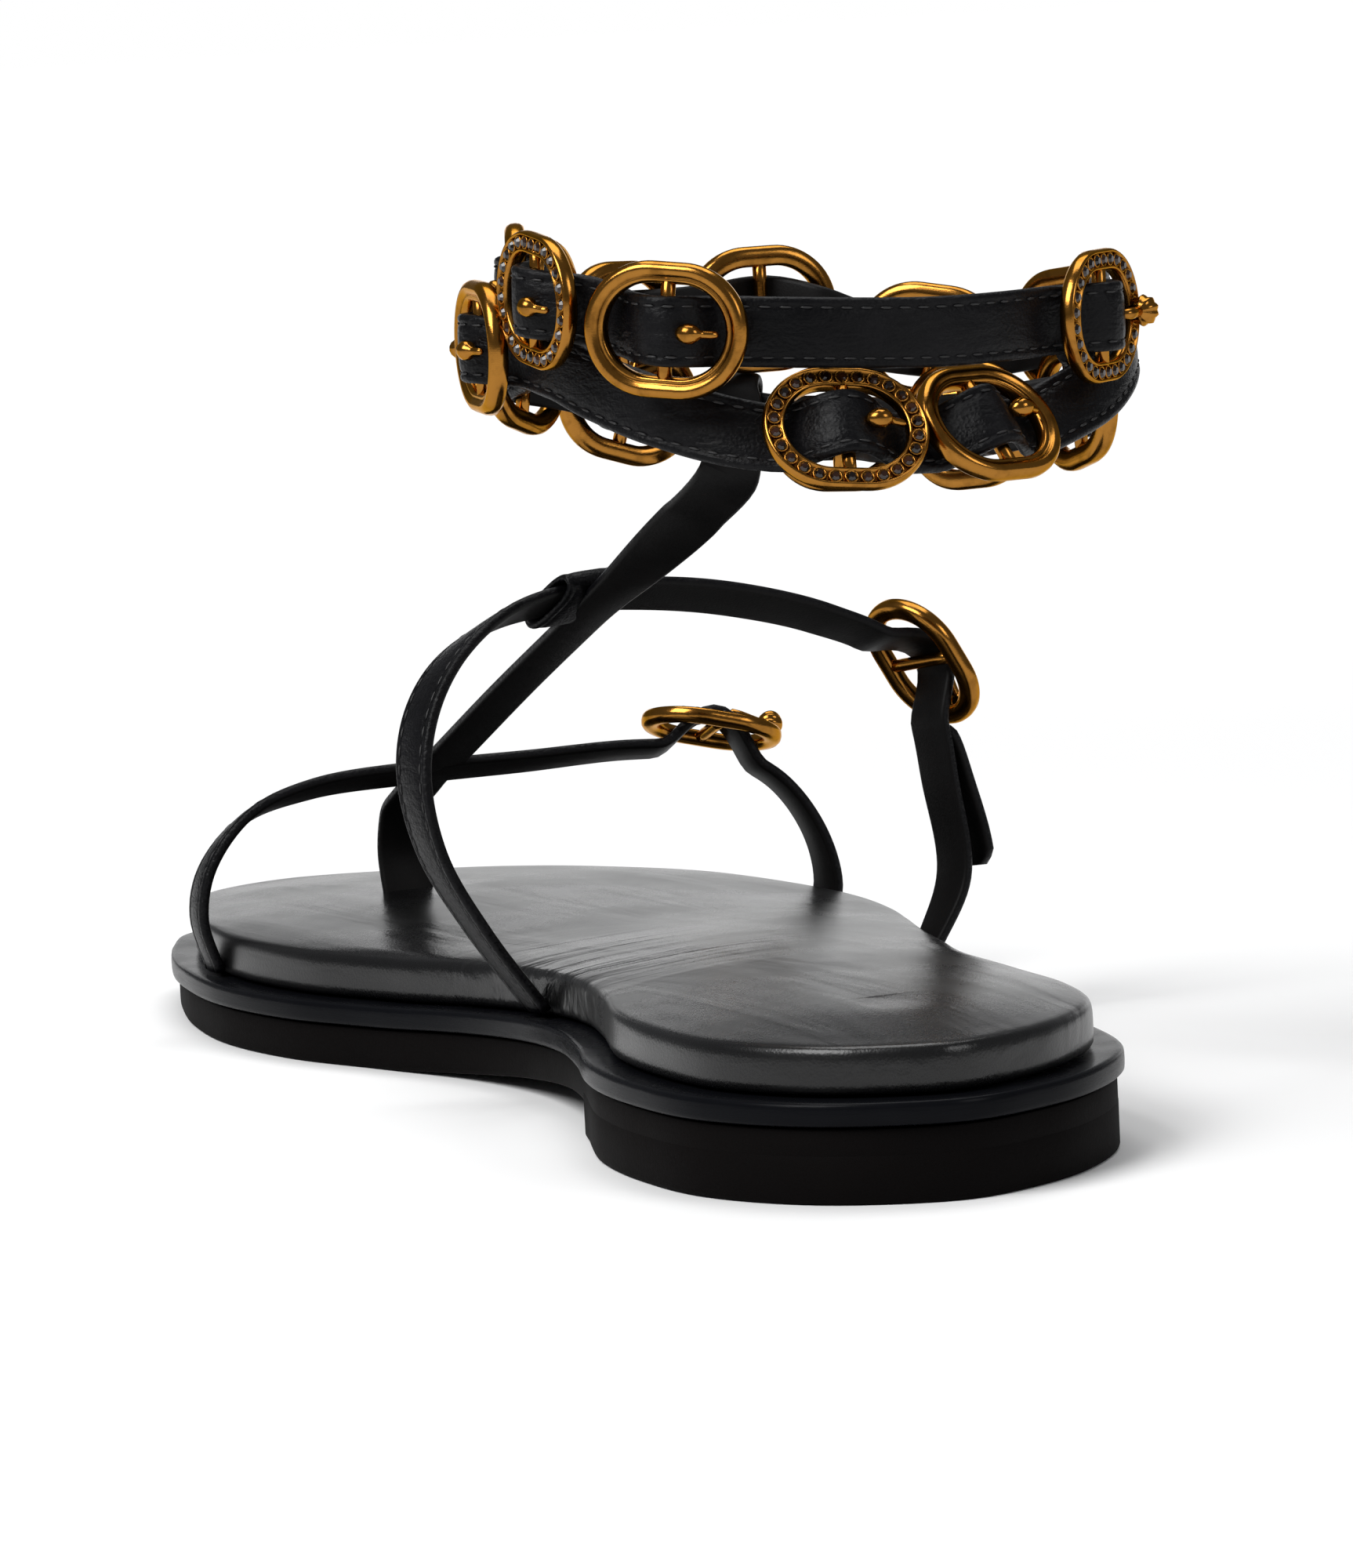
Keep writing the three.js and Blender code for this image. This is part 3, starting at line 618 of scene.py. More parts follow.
# An upright block on an outline, with its heights measured from the underside of the sole.
def uprightBlock(name, outline, low, high):
    verts = [(x, y, underside(y) + level) for level in (low, high) for x, y in outline]
    return meshObject(name, verts, tubeFaces(0, 2, len(outline)), [])


def cutAway(made, cutter):
    step = made.modifiers.new("cut", "BOOLEAN")
    step.operation = "DIFFERENCE"
    step.solver = "EXACT"
    step.object = cutter
    plainMesh(made)
    bpy.data.objects.remove(cutter)


# Blocks on points, each lying along its own vector and as long as it.
def blockTree(finish):
    graph, start = growingTree("blockRow", Width="Float", Depth="Float")
    cube = graph.node("GeometryNodeMeshCube", {"Size": (1, 1, 1)})
    along = namedVector(graph, "along")
    length = graph.out(graph.node("ShaderNodeVectorMath", {0: along}, operation="LENGTH"), "Value")
    sizes = {0: length, 1: graph.out(start, "Width"), 2: graph.out(start, "Depth")}
    size = graph.out(graph.node("ShaderNodeCombineXYZ", sizes))
    rotation = turnedTo(graph, along, (0, 0, 1))
    return finishTree(graph, graph.out(start, "Geometry"), graph.out(cube), rotation, finish, False, size)


# Blocks in millimetres, from their middles and their length vectors.
def blocks(name, middles, lengths, width, depth):
    guide = guideMesh(name, middles, [], {"along": [mm * length for length in lengths]})
    return grown(guide, blockTree(rubberFinish), {"Width": width * mm, "Depth": depth * mm})


# A herringbone of slatted bricks, left standing where the oval is cut away.
def cutForefoot(made):
    brick, gap, slats = tread["brick"], tread["groove"], tread["slats"]
    turn = math.radians(tread["turn"])
    ahead = np.array([math.cos(turn), math.sin(turn), 0])
    side = np.array([-math.sin(turn), math.cos(turn), 0])
    middle = np.array([*tread["middle"], 0])
    slatWidth = (brick - gap - (slats - 1) * tread["slatGroove"]) / slats
    span = range(-tread["columns"], tread["columns"] + 1)
    middles, lengths = [], []
    for column in span:
        for row in span:
            kind = (column - row) % 4
            if kind not in (0, 3):
                continue
            along, across = (ahead, side) if kind == 0 else (side, ahead)
            corner = middle + brick * (column * ahead + row * side)
            if np.linalg.norm(corner + brick * along - middle) > tread["reach"]:
                continue
            for slat in range(slats):
                over = gap / 2 + slatWidth / 2 + slat * (slatWidth + tread["slatGroove"])
                middles.append(corner + along * brick + across * over)
                lengths.append(along * (2 * brick - gap))
    edge = threadedCurve(treadEdge, True)
    outline = [tuple(edge(k / tread["edgeSteps"])) for k in range(tread["edgeSteps"])]
    oval = uprightBlock("treadOval", outline, -tread["below"], tread["depth"])
    cutAway(oval, blocks("treadSlats", middles, lengths, slatWidth, tread["slatHeight"]))
    cutAway(made, oval)


# Fine grooves behind the breast line, short of the heel's edge.
def cutHeel(made):
    (x0, y0), (x1, y1) = sole["breast"]
    breast = np.array([x0, y0])
    along = np.array([x1 - x0, y1 - y0]) / math.hypot(x1 - x0, y1 - y0)
    behind = np.array([along[1], -along[0]])
    edge = edgePoints - edgeOut * tread["heelMargin"] - breast
    middles, lengths = [], []
    for k in range(*tread["ribs"]):
        away = edge @ behind - k * tread["ribPitch"]
        reach = edge @ along
        ends = []
        for i in range(len(edge)):
            j = (i + 1) % len(edge)
            if (away[i] > 0) != (away[j] > 0):
                ends.append(reach[i] + away[i] / (away[i] - away[j]) * (reach[j] - reach[i]))
        if len(ends) < 2 or max(ends) - min(ends) < tread["shortestRib"]:
            continue
        middle = breast + behind * k * tread["ribPitch"] + along * (min(ends) + max(ends)) / 2
        middles.append((*middle, 0))
        lengths.append(np.array([*along, 0]) * (max(ends) - min(ends)))
    cutAway(made, blocks("heelGrooves", middles, lengths, tread["ribWidth"], 2 * tread["ribDepth"]))


# The rubber sole and the heel lift under it. The levels run out over the underside, up the edge
# and in again over the top.
def makeOutsole():
    rubberTop = lambda y: bandTop(y) - sole["bandHeight"] - sole["air"]
    halfway = lambda y: 0.5 * (underside(y) + rubberTop(y))
    rise = lambda amount: lambda y: underside(y) + amount
    drop = lambda amount: lambda y: rubberTop(y) - amount
    flat = lambda z: lambda y: z
    seam = sole["liftSeam"]
    levels = [(-1.2, kept, underside) for kept in reversed(inward)]
    levels += [(-1.0, 1, underside), (-0.5, 1, rise(0.04)), (-0.15, 1, rise(0.2)), (0, 1, rise(0.55))]
    levels += [(0, 1, halfway), (0, 1, drop(0.35)), (-0.12, 1, drop(0.1)), (-0.5, 1, rubberTop)]
    levels += [(-1.2, kept, rubberTop) for kept in inward]
    forefoot = soleLoft("outsole_rubber", levels, rubberFinish)
    levels = [(-1.2, kept, flat(0)) for kept in reversed(inward)]
    levels += [(-1.0, 1, flat(0)), (-0.5, 1, flat(0.05)), (-0.15, 1, flat(0.2)), (0.02, 1, flat(0.6))]
    levels += [(0.04, 1, flat(seam - 0.35)), (-0.05, 1, flat(seam - 0.12)), (-0.3, 1, flat(seam))]
    levels += [(-1.2, kept, flat(seam)) for kept in inward]
    heel = soleLoft("heel_lift", levels, rubberFinish)
    (x0, y0), (x1, y1) = sole["breast"]
    ahead = Vector((y0 - y1, x1 - x0, 0)).normalized()
    with opened(heel.data) as shape:
        bmesh.ops.bisect_plane(
            shape, geom=shape.verts[:] + shape.edges[:] + shape.faces[:],
            plane_co=(x0 * mm, y0 * mm, 0), plane_no=ahead, clear_outer=True, dist=1e-6,
        )
        bmesh.ops.holes_fill(shape, edges=[edge for edge in shape.edges if edge.is_boundary])
        bmesh.ops.triangulate(shape, faces=[face for face in shape.faces if len(face.verts) > 4])
        bmesh.ops.recalc_face_normals(shape, faces=shape.faces)
    cutHeel(heel)
    cutForefoot(forefoot)
    for piece in (heel, forefoot):
        piece.data.polygons.foreach_set("use_smooth", [True] * len(piece.data.polygons))
        piece.data.set_sharp_from_angle(angle=math.radians(35))
    addPiece(heel, "outsole_rubber")
    addPiece(forefoot, "outsole_rubber", "outsole")


# The band round the sole between the rubber and the footbed, with a rounded edge.
def makeBand():
    low = lambda amount: lambda y: bandTop(y) - sole["bandHeight"] + amount
    top = lambda amount: lambda y: bandTop(y) - amount
    proud = sole["bandProud"]
    levels = [(-1.5, kept, low(0)) for kept in reversed(inward)]
    levels += [(proud - 0.8, 1, low(0)), (proud - 0.3, 1, low(0.08)), (proud - 0.05, 1, low(0.35))]
    levels += [(proud, 1, low(0.8)), (proud + 0.03, 1, low(1.5)), (proud, 1, top(0.75))]
    levels += [(proud - 0.07, 1, top(0.32)), (proud - 0.3, 1, top(0.07)), (proud - 0.8, 1, top(0))]
    levels += [(-1.5, 1, top(0.05))] + [(-1.5, kept, top(0.05)) for kept in inward]
    band = soleLoft("midsole_band_edge", levels, bandFinish)
    addPiece(band, "welt_band", "midsole_band")


# footbed side: inset from the pad's edge, share of the pad's height
padSide = [
    (0.9, 0), (0.3, 0.03), (0.05, 0.1), (0.0, 0.25), (0.0, 0.4), (0.0, 0.55), (0.03, 0.7), (0.14, 0.82),
    (0.36, 0.905), (0.7, 0.955), (1.2, 0.98), (1.9, 0.992), (2.8, 0.998), (4.0, 1.0),
]
padInward = (0.95, 0.9, 0.84, 0.78, 0.71, 0.64, 0.57, 0.5, 0.42, 0.34, 0.26, 0.18, 0.1, 0.04)
pad = {
    "inset": 2.7,
    "pressure": 3.0,
    "frames": 16,
    "mostMove": 0.7,
    "swelling": 0.6,
    "smoothings": 6,
    "stillRows": 8,
    "blendRows": 2,
}


# A row of numbers, each the average of those up to reach places away.
def evened(values, reach):
    width = 2 * reach + 1
    return np.convolve(np.pad(values, reach, "edge"), np.ones(width) / width, "valid")


# The footbed's mesh after the cloth has settled under pressure, as movements of its points.
def swelledBy(footbed, start):
    cloth = footbed.modifiers.new("cloth", "CLOTH")
    cloth.settings.use_pressure = True
    cloth.settings.uniform_pressure_force = pad["pressure"]
    cloth.settings.effector_weights.gravity = 0
    cloth.settings.quality = 4
    cloth.point_cache.frame_start = 1
    cloth.point_cache.frame_end = pad["frames"]
    for step in range(1, pad["frames"] + 1):
        bpy.context.scene.frame_set(step)
    plainMesh(footbed)
    bpy.context.scene.frame_set(1)
    return np.array([tuple(vert.co) for vert in footbed.data.vertices]) - start


def makeFootbed():
    padRise = sole["padHeight"] - 0.1
    height = lambda share, crown=0: lambda y: bandTop(y) + sole["air"] + share * padRise + crown
    levels = [(-pad["inset"] - 1.5, kept, height(0)) for kept in reversed(inward)]
    levels += [(-pad["inset"] - inset, 1, height(share)) for inset, share in padSide]
    rim = -pad["inset"] - padSide[-1][0]
    crowns = [sole["padCrown"] * math.cos(math.pi / 2 * kept) for kept in padInward]
    levels += [(rim, kept, height(1, crown)) for kept, crown in zip(padInward, crowns)]
    footbed = soleLoft("footbed_cushion", levels, footbedFinish)
    start = np.array([tuple(vert.co) for vert in footbed.data.vertices])
    moved = swelledBy(footbed, start)
    lengths = np.linalg.norm(moved, axis=1)
    print("footbed swelled by up to", round(float(lengths.max()) / mm, 2), "mm before the cap")
    upward = np.clip(moved[:, 2], 0, pad["mostMove"] * mm) * pad["swelling"]
    rows = upward.reshape(len(levels), sole["steps"])
    for _ in range(pad["smoothings"]):
        rows = (np.roll(rows, 1, 1) + 2 * rows + np.roll(rows, -1, 1)) / 4
    onTop = [float(k >= len(inward) + pad["stillRows"]) for k in range(len(levels))]
    rows = rows * evened(onTop, pad["blendRows"])[:, None]
    for vert, place, lift in zip(footbed.data.vertices, start, rows.ravel()):
        vert.co = (place[0], place[1], place[2] + lift)
    addPiece(footbed, "footbed_leather", "footbed")


makeOutsole()
makeBand()
makeFootbed()
print("sole ready")


strap = {
    "width": 7.6,
    "ankleWidth": 8.5,
    "thickness": 1.5,
    "domeHalfLength": 8.0,
    "ringLift": 3.3,
    "barRadius": 0.9,
    "air": 0.3,
    "tailPointLength": 7.0,
    "tailTipWidth": 1.6,
    "step": 1.1,
    "nearby": 760,
}
ankle = {"centre": (-5, 10), "halfWidth": 41, "halfDepth": 37}
middleStrap = {
    "steps": 110,
    "foldSteps": 60,
    "turnSteps": 30,
    "evenReach": 6,
    "slim": 0.95,
    "loopTurn": 74.6,
    "loopWidth": 4.2,
}
# step along the strap, x, y, z, width
middleStrapRows = [
    (0, 4.2, 168.5, 15, 7.8), (1, 4, 170.4, 22, 7.4), (2, 3.6, 168.2, 28, 7), (3, 3.2, 160.5, 32.4, 7),
    (4, 3, 148, 38, 7), (5, 3, 122, 49.8, 7), (6, 3, 97, 60.6, 7), (7, 3.6, 78, 68.8, 7.6),
    (8, 5.4, 63, 76.6, 8),
]
# x, y, z, slope across the strap, turn of its width from straight ahead in degrees
toeStrapRows = [
    (-29.3, 160, 9.4, 0, 7), (-31.2, 160.4, 17, 0, 8), (-29.6, 160, 24, -0.1, 9),
    (-23.6, 158.9, 30.8, -0.25, 10), (-14.4, 157.2, 34, -0.4, 11), (0, 154.6, 35.2, -0.45, 11),
    (16, 151.4, 35.7, -0.42, 11), (32, 148.4, 36.2, -0.36, 11), (43.6, 146, 35, -0.3, 9),
    (51.8, 144.4, 30.6, -0.2, 6), (57, 143.2, 23, -0.1, 2), (58.8, 142.8, 15, 0, -2), (57.3, 143, 9.6, 0, -3),
]
toeBuckleRow = 7.9
instepStrapRows = [
    (-14.8, 76, 11.8, 0, 0), (-22.6, 76.6, 23, 0, -2), (-28, 77.8, 33.5, 0, -5), (-29.4, 79.4, 43.6, -0.05, -9),
    (-27.2, 81.4, 51.6, -0.15, -13), (-22, 84, 58, -0.28, -16), (-12.6, 88, 62.8, -0.5, -18),
    (0, 92, 64.4, -0.62, -16), (14, 95.4, 63.6, -0.64, -13), (27, 98, 61.4, -0.6, -10),
    (40.2, 100, 57.6, -0.5, -10), (50.4, 101, 52.6, -0.36, -12), (55.6, 101, 44, -0.2, -13),
    (57.2, 100.2, 33.4, -0.06, -12), (58, 98.8, 20.6, 0, -7), (52.4, 97, 10.6, 0, 6),
]
instepBuckleRow = 11.5
instepTail = {
    "fromRow": 12.35,
    "toRow": 13.9,
    "steps": 22,
    "start": 0.5,
    "away": 4.0,
    "width": 7.3,
    "tipWidths": (5.6, 3.0),
}
# turn round the ankle in degrees (0 outer side, 90 front), distance out from the oval, height,
# and lean of the top edge in over the ankle in degrees
ankleStrapRows = [
    (-46.5, -1.8, 103, 0), (-30, -3, 97.7, 0), (-15, -4.2, 93.5, 0), (6, -5.4, 90.4, 0), (24, -6.2, 88.9, 0),
    (30, -6, 88.5, 0), (43, -3.8, 88.1, 0), (60.6, -0.2, 88.1, 0), (77.2, 6.2, 89.8, 0), (88, 8.4, 92.4, 0),
    (109, 3.6, 98.2, 0), (122, -0.4, 100.8, 0), (137, -4.4, 102.4, 0), (152, -6, 103.4, 0), (171, -6, 104, 0),
    (196, -5, 102.2, 0), (210, -3.8, 99.6, 2), (226, -0.6, 96.6, 6), (243, 1.8, 93.5, 22), (258, 2.2, 92, 34),
    (286, -1.2, 90.9, 38), (312, 0.6, 94.4, 28), (345, 3.7, 100.6, 5), (372, 4.7, 100.2, 0),
    (400, 5.2, 97.8, 0), (413, 4, 100, 0), (428, 1, 104, 0), (455, -3, 103.4, 0), (484, -8.5, 107.6, 0),
    (522, -11.7, 110.4, 0), (542, -9.2, 111, 0), (560.5, -4, 110.5, 0), (587, 2, 107.1, 0),
    (610, 2.9, 105.7, 0), (640, 1.9, 104.5, 0), (672, 0.2, 104.4, 0), (700, 0.5, 104.9, 0), (713, 1, 105.1, 0),
]
# turn angles of each run of rings
ringRuns = {
    "ring_low": (172.2, 136.8, 110.6, 89.6, 59.4, 29.2, -5),
    "ring_back": (256.8, 283.9),
    "ring_high": (590.8, 563.4, 523.8, 485, 456.4, 429.2, 403.2, 377.2),
    "ring_closing": (672,),
}
crystalRings = {
    "ring_low_2", "ring_low_4", "ring_low_6", "ring_back_1", "ring_high_2", "ring_high_4", "ring_high_6",
    "ring_high_8", "ring_closing", "ring_toe", "ring_instep",
}
ankleOut = smoothTable(ankleStrapRows, 1)
ankleHeight = smoothTable(ankleStrapRows, 2)
ankleLean = smoothTable(ankleStrapRows, 3)


def anklePoint(turn):
    angle = math.radians(turn)
    out = ankleOut(turn)
    (x, y) = ankle["centre"]
    return np.array([
        x + (ankle["halfWidth"] + out) * math.cos(angle),
        y + (ankle["halfDepth"] + out) * math.sin(angle),
        ankleHeight(turn),
    ])


def ankleAcross(turn):
    angle, lean = math.radians(turn), math.radians(ankleLean(turn))
    return np.array([-math.cos(angle) * math.sin(lean), -math.sin(angle) * math.sin(lean), math.cos(lean)])


def unit(vector):
    return vector / np.linalg.norm(vector)


# Place, direction along, direction across and outward direction at each point of a strap.
def framesAlong(points, acrosses):
    frames = []
    for i, point in enumerate(points):
        along = unit(points[min(i + 1, len(points) - 1)] - points[max(i - 1, 0)])
        across = unit(acrosses[i] - along * np.dot(acrosses[i], along))
        frames.append((point, along, across, np.cross(along, across)))
    return frames


# Frames of a strap that rises over the bar of each ring on it, and each ring's own frame.
def strapCourse(pointAt, acrossAt, ringShares, samples=1500):
    shares = np.linspace(0, 1, samples + 1)
    curve = np.array([pointAt(share) for share in shares])
    reach = np.concatenate([[0], np.cumsum(np.linalg.norm(np.diff(curve, axis=0), axis=1))])
    rings = [np.interp(share, shares, reach) for share in ringShares]
    places = np.linspace(0, reach[-1], int(reach[-1] / strap["step"]) + 1)
    wanted = np.interp(places, reach, shares)
    acrosses = [acrossAt(share) for share in wanted]
    base = framesAlong([pointAt(share) for share in wanted], acrosses)
    rise = strap["ringLift"] + strap["barRadius"] + 1.5 * strap["air"] + strap["thickness"] / 2
    lifted = []
    for place, (point, _, _, out) in zip(places, base):
        away = min([abs(place - ring) for ring in rings] + [strap["domeHalfLength"]])
        lifted.append(point + out * rise * (1 + math.cos(math.pi * away / strap["domeHalfLength"])) / 2)
    ringPlaces = []
    for share in ringShares:
        near = [pointAt(share + k / strap["nearby"]) for k in (-1, 0, 1)]
        point, along, across, out = framesAlong(near, [acrossAt(share)] * 3)[1]
        ringPlaces.append((point + out * strap["ringLift"], along, across, out))
    return framesAlong(lifted, acrosses), places, ringPlaces


# distance in from the strap's edge, height above its middle
outerSection = [
    (0.0, 0.0), (0.04, 0.3), (0.2, 0.58), (0.5, 0.74), (0.85, 0.74),
    (1.1, 0.62), (1.35, 0.62), (1.6, 0.74), (2.3, 0.83), (3.8, 0.87),
]
innerSection = [(0.04, -0.3), (0.2, -0.55), (0.6, -0.7), (3.8, -0.74)]
stitching = {
    "pitch": 2.5,
    "length": 1.75,
    "thread": 0.17,
    "inset": 1.22,
    "height": 0.68,
    "leastWidth": 3.5,
}


def sectionPoints(width, slim):
    half = width / 2
    outer = [(min(inset, half), slim * height) for inset, height in outerSection]
    inner = [(min(inset, half), slim * height) for inset, height in innerSection]
    loop = [(inset - half, height) for inset, height in outer]
    loop += [(half - inset, height) for inset, height in reversed(outer[:-1])]
    loop += [(half - inset, height) for inset, height in inner]
    loop += [(inset - half, height) for inset, height in reversed(inner[:-1])]
    return loop, 2 * len(outer) - 1


# Adds a strap swept along its frames to parts, a dictionary of verts, faces and finishes, and
# notes its two stitch lines as points with their outward directions.
def addStrap(parts, frames, widths, first=2, last=2, slim=1.0):
    start = len(parts["verts"])
    for (point, _, across, out), width in zip(frames, widths):
        loop, outerCount = sectionPoints(width, slim)
        parts["verts"] += [point + across * x + out * z for x, z in loop]
    count = len(loop)
    parts["faces"] += tubeFaces(start, len(frames), count)
    ringFinish = [int(outerCount <= k < count - 1) for k in range(count)]
    parts["finish"] += ringFinish * (len(frames) - 1) + [0, 0]
    for side in (-1, 1):
        line = []
        for (point, _, across, out), width in list(zip(frames, widths))[first:-last]:
            if width >= stitching["leastWidth"]:
                beside = side * (width / 2 - stitching["inset"])
                line.append((point + across * beside + out * slim * stitching["height"], out))
        stitches.append(line)


def strapObject(name, parts, node):
    finishes = [strapFinish, liningFinish]
    made = meshObject(name, parts["verts"], parts["faces"], finishes, parts["finish"])
    addPiece(made, "strap_leather", node)


ringFrames = {}
stitches = []


def makeAnkleStrap():
    names, turns = [], []
    for name, runTurns in ringRuns.items():
        turns += runTurns
        names += [name] if len(runTurns) == 1 else [f"{name}_{i + 1}" for i in range(len(runTurns))]
    start, end = ankleStrapRows[0][0], ankleStrapRows[-1][0]
    pointAt = lambda share: anklePoint(start + (end - start) * share)
    acrossAt = lambda share: ankleAcross(start + (end - start) * share)
    shares = [(turn - start) / (end - start) for turn in turns]
    frames, places, rings = strapCourse(pointAt, acrossAt, shares, 3000)
    ringFrames.update(zip(names, rings))
    left = np.minimum((places[-1] - places) / strap["tailPointLength"], 1)
    widths = strap["tailTipWidth"] + (strap["ankleWidth"] - strap["tailTipWidth"]) * np.sqrt(left)
    parts = {"verts": [], "faces": [], "finish": []}
    addStrap(parts, frames, widths)
    strapObject("ankle_strap_leather", parts, "ankle_strap")


# An arch strap's place and direction across it, by a share from 0 to 1.
def archWay(rows):
    curve = threadedCurve([row[:3] for row in rows], False)
    last = len(rows) - 1
    numbered = [(i, *row) for i, row in enumerate(rows)]
    lean, yaw = smoothTable(numbered, 4), smoothTable(numbered, 5)

    def acrossAt(share):
        turn = math.radians(yaw(share * last))
        return np.array([math.sin(turn), math.cos(turn), lean(share * last)])

    return lambda share: curve(min(max(share, 0), 1)), acrossAt


def addArchStrap(parts, rows, buckleRow, name):
    pointAt, acrossAt = archWay(rows)
    frames, _, rings = strapCourse(pointAt, acrossAt, [buckleRow / (len(rows) - 1)])
    ringFrames[name] = rings[0]
    addStrap(parts, frames, [strap["width"]] * len(frames))


# The free end of the instep strap, standing off the strap under it.
def addInstepTail(parts):
    pointAt, acrossAt = archWay(instepStrapRows)
    steps, start = instepTail["steps"], instepTail["start"]
    rows = np.linspace(instepTail["fromRow"], instepTail["toRow"], steps + 1)
    shares = rows / (len(instepStrapRows) - 1)
    acrosses = [acrossAt(share) for share in shares]
    base = framesAlong([pointAt(share) for share in shares], acrosses)
    points = [
        point + out * (start + (instepTail["away"] - start) * math.sqrt(i / steps))
        for i, (point, _, _, out) in enumerate(base)
    ]
    frames = framesAlong(points, acrosses)
    widths = [instepTail["width"]] * (steps - 1) + [*instepTail["tipWidths"]]
    addStrap(parts, frames, widths, 3, 3)


# The strap up the middle, whose top folds over the ankle strap.
def addMiddleStrap(parts):
    way = [smoothTable(middleStrapRows, k) for k in (1, 2, 3, 4)]
    steps, foldSteps, turnSteps = (middleStrap[name] for name in ("steps", "foldSteps", "turnSteps"))
    rows = [[at(middleStrapRows[-1][0] * i / steps) for at in way] for i in range(steps + 1)]
    points = [np.array(row[:3]) for row in rows]
    widths = [row[3] for row in rows]
    turn = middleStrap["loopTurn"]
    held = anklePoint(turn)
    beside = unit(anklePoint(turn - 1) - anklePoint(turn + 1))
    outward = unit(np.cross([0, 0, 1], beside))
    up = np.cross(beside, outward)
    half = strap["ankleWidth"] / 2
    clear = strap["thickness"] + 2.3 * strap["air"]
    behind, front = widths[-1], middleStrap["loopWidth"]
    # distance out from the ankle strap's middle, height above it, width
    fold = [
        (-clear, -half - 2.2, behind), (-clear, -half + 1, behind), (-clear, half - 0.6, 6.4),
        (-0.75 * clear, half + 0.8, front), (0, half + clear - 0.5, front), (0.75 * clear, half + 0.8, front),
        (clear, half - 0.6, front), (clear, -half + 1, front), (clear - 0.6, -half - 1, front),
    ]
    folded = [held + outward * away + up * height for away, height, _ in fold]
    foldCurve = threadedCurve(points[-2:] + folded, False)
    foldWidths = widths[-2:] + [row[2] for row in fold]
    pieces = len(fold) + 1
    for i in range(1, foldSteps + 1):
        place = 1 + (pieces - 1) * i / foldSteps
        points.append(foldCurve(place / pieces))
        widths.append(float(np.interp(place, range(pieces + 1), foldWidths)))
    widths = evened(widths, middleStrap["evenReach"])
    acrosses = []
    for i in range(len(points)):
        t = min(max((i - steps) / turnSteps + 1, 0), 1)
        share = t * t * (3 - 2 * t)
        acrosses.append(np.array([1.0, 0, 0]) * (1 - share) + beside * share)
    frames = framesAlong(points, acrosses)
    addStrap(parts, frames, widths, 6, 4, middleStrap["slim"])


keeper = {
    "width": 9.0,
    "reach": 5.6,
    "lift": 1.45,
    "place": 0.4655,
    "nearby": 0.004,
    "steps": 48,
    "slim": 0.62,
}


# The fold of the middle strap that holds the instep strap where they cross.
def addKeeper(parts):
    pointAt, acrossAt = archWay(instepStrapRows)
    share, steps = keeper["place"], keeper["steps"]
    near = [pointAt(share + k * keeper["nearby"]) for k in (-1, 0, 1)]
    centre, along, across, out = framesAlong(near, [acrossAt(share)] * 3)[1]
    rounded = lambda value, power: math.copysign(abs(value) ** power, value)
    points = []
    for i in range(steps):
        angle = 2 * math.pi * i / steps
        flat, tall = rounded(math.cos(angle), 0.6), rounded(math.sin(angle), 0.8)
        points.append(centre + across * keeper["reach"] * flat + out * keeper["lift"] * tall)
    loop = points + points[:2]
    start = len(parts["verts"])
    profile = sectionPoints(keeper["width"], keeper["slim"])[0]
    for point, _, sideways, outside in framesAlong(loop, [along] * len(loop))[1:steps + 1]:
        away = math.copysign(1, np.dot(outside, point - centre))
        parts["verts"] += [point + sideways * x + outside * away * z for x, z in profile]
    parts["faces"] += tubeFaces(start, steps, len(profile), True)
    parts["finish"] += [0] * steps * len(profile)


def makeUpper():
    parts = {"verts": [], "faces": [], "finish": []}
    addMiddleStrap(parts)
    addArchStrap(parts, toeStrapRows, toeBuckleRow, "ring_toe")
    addArchStrap(parts, instepStrapRows, instepBuckleRow, "ring_instep")
    addInstepTail(parts)
    addKeeper(parts)
    strapObject("upper_straps_leather", parts, "upper_straps")


makeAnkleStrap()
makeUpper()
print("straps ready")


def stitchTree(finish):
    graph, start = growingTree("stitchRun", Pitch="Float", Length="Float", Thread="Float")
    places, rotation = evenPlaces(graph, start, "LENGTH", "Pitch")
    ball = graph.node("GeometryNodeMeshUVSphere", {"Segments": 6, "Rings": 5, "Radius": 1.0})
    thick = graph.out(start, "Thread")
    sizes = {0: graph.out(start, "Length") * 0.5, 1: thick, 2: thick}
    size = graph.out(graph.node("ShaderNodeCombineXYZ", sizes))
    shaped = graph.node("GeometryNodeTransform", {"Geometry": graph.out(ball), "Scale": size})
    return finishTree(graph, places, graph.out(shaped), rotation, finish, True)


def stoneTree(finish):
    graph, start = growingTree("stoneRing", Count="Int", Stone="Float")
    places, rotation = evenPlaces(graph, start, "COUNT", "Count")
    stone = graph.out(start, "Stone")
    table = stone * 0.55
    sockets = {"Vertices": 8, "Radius Top": table, "Radius Bottom": stone, "Depth": table}
    cone = graph.node("GeometryNodeMeshCone", sockets)
    return finishTree(graph, places, graph.out(cone, "Mesh"), rotation, finish, False)


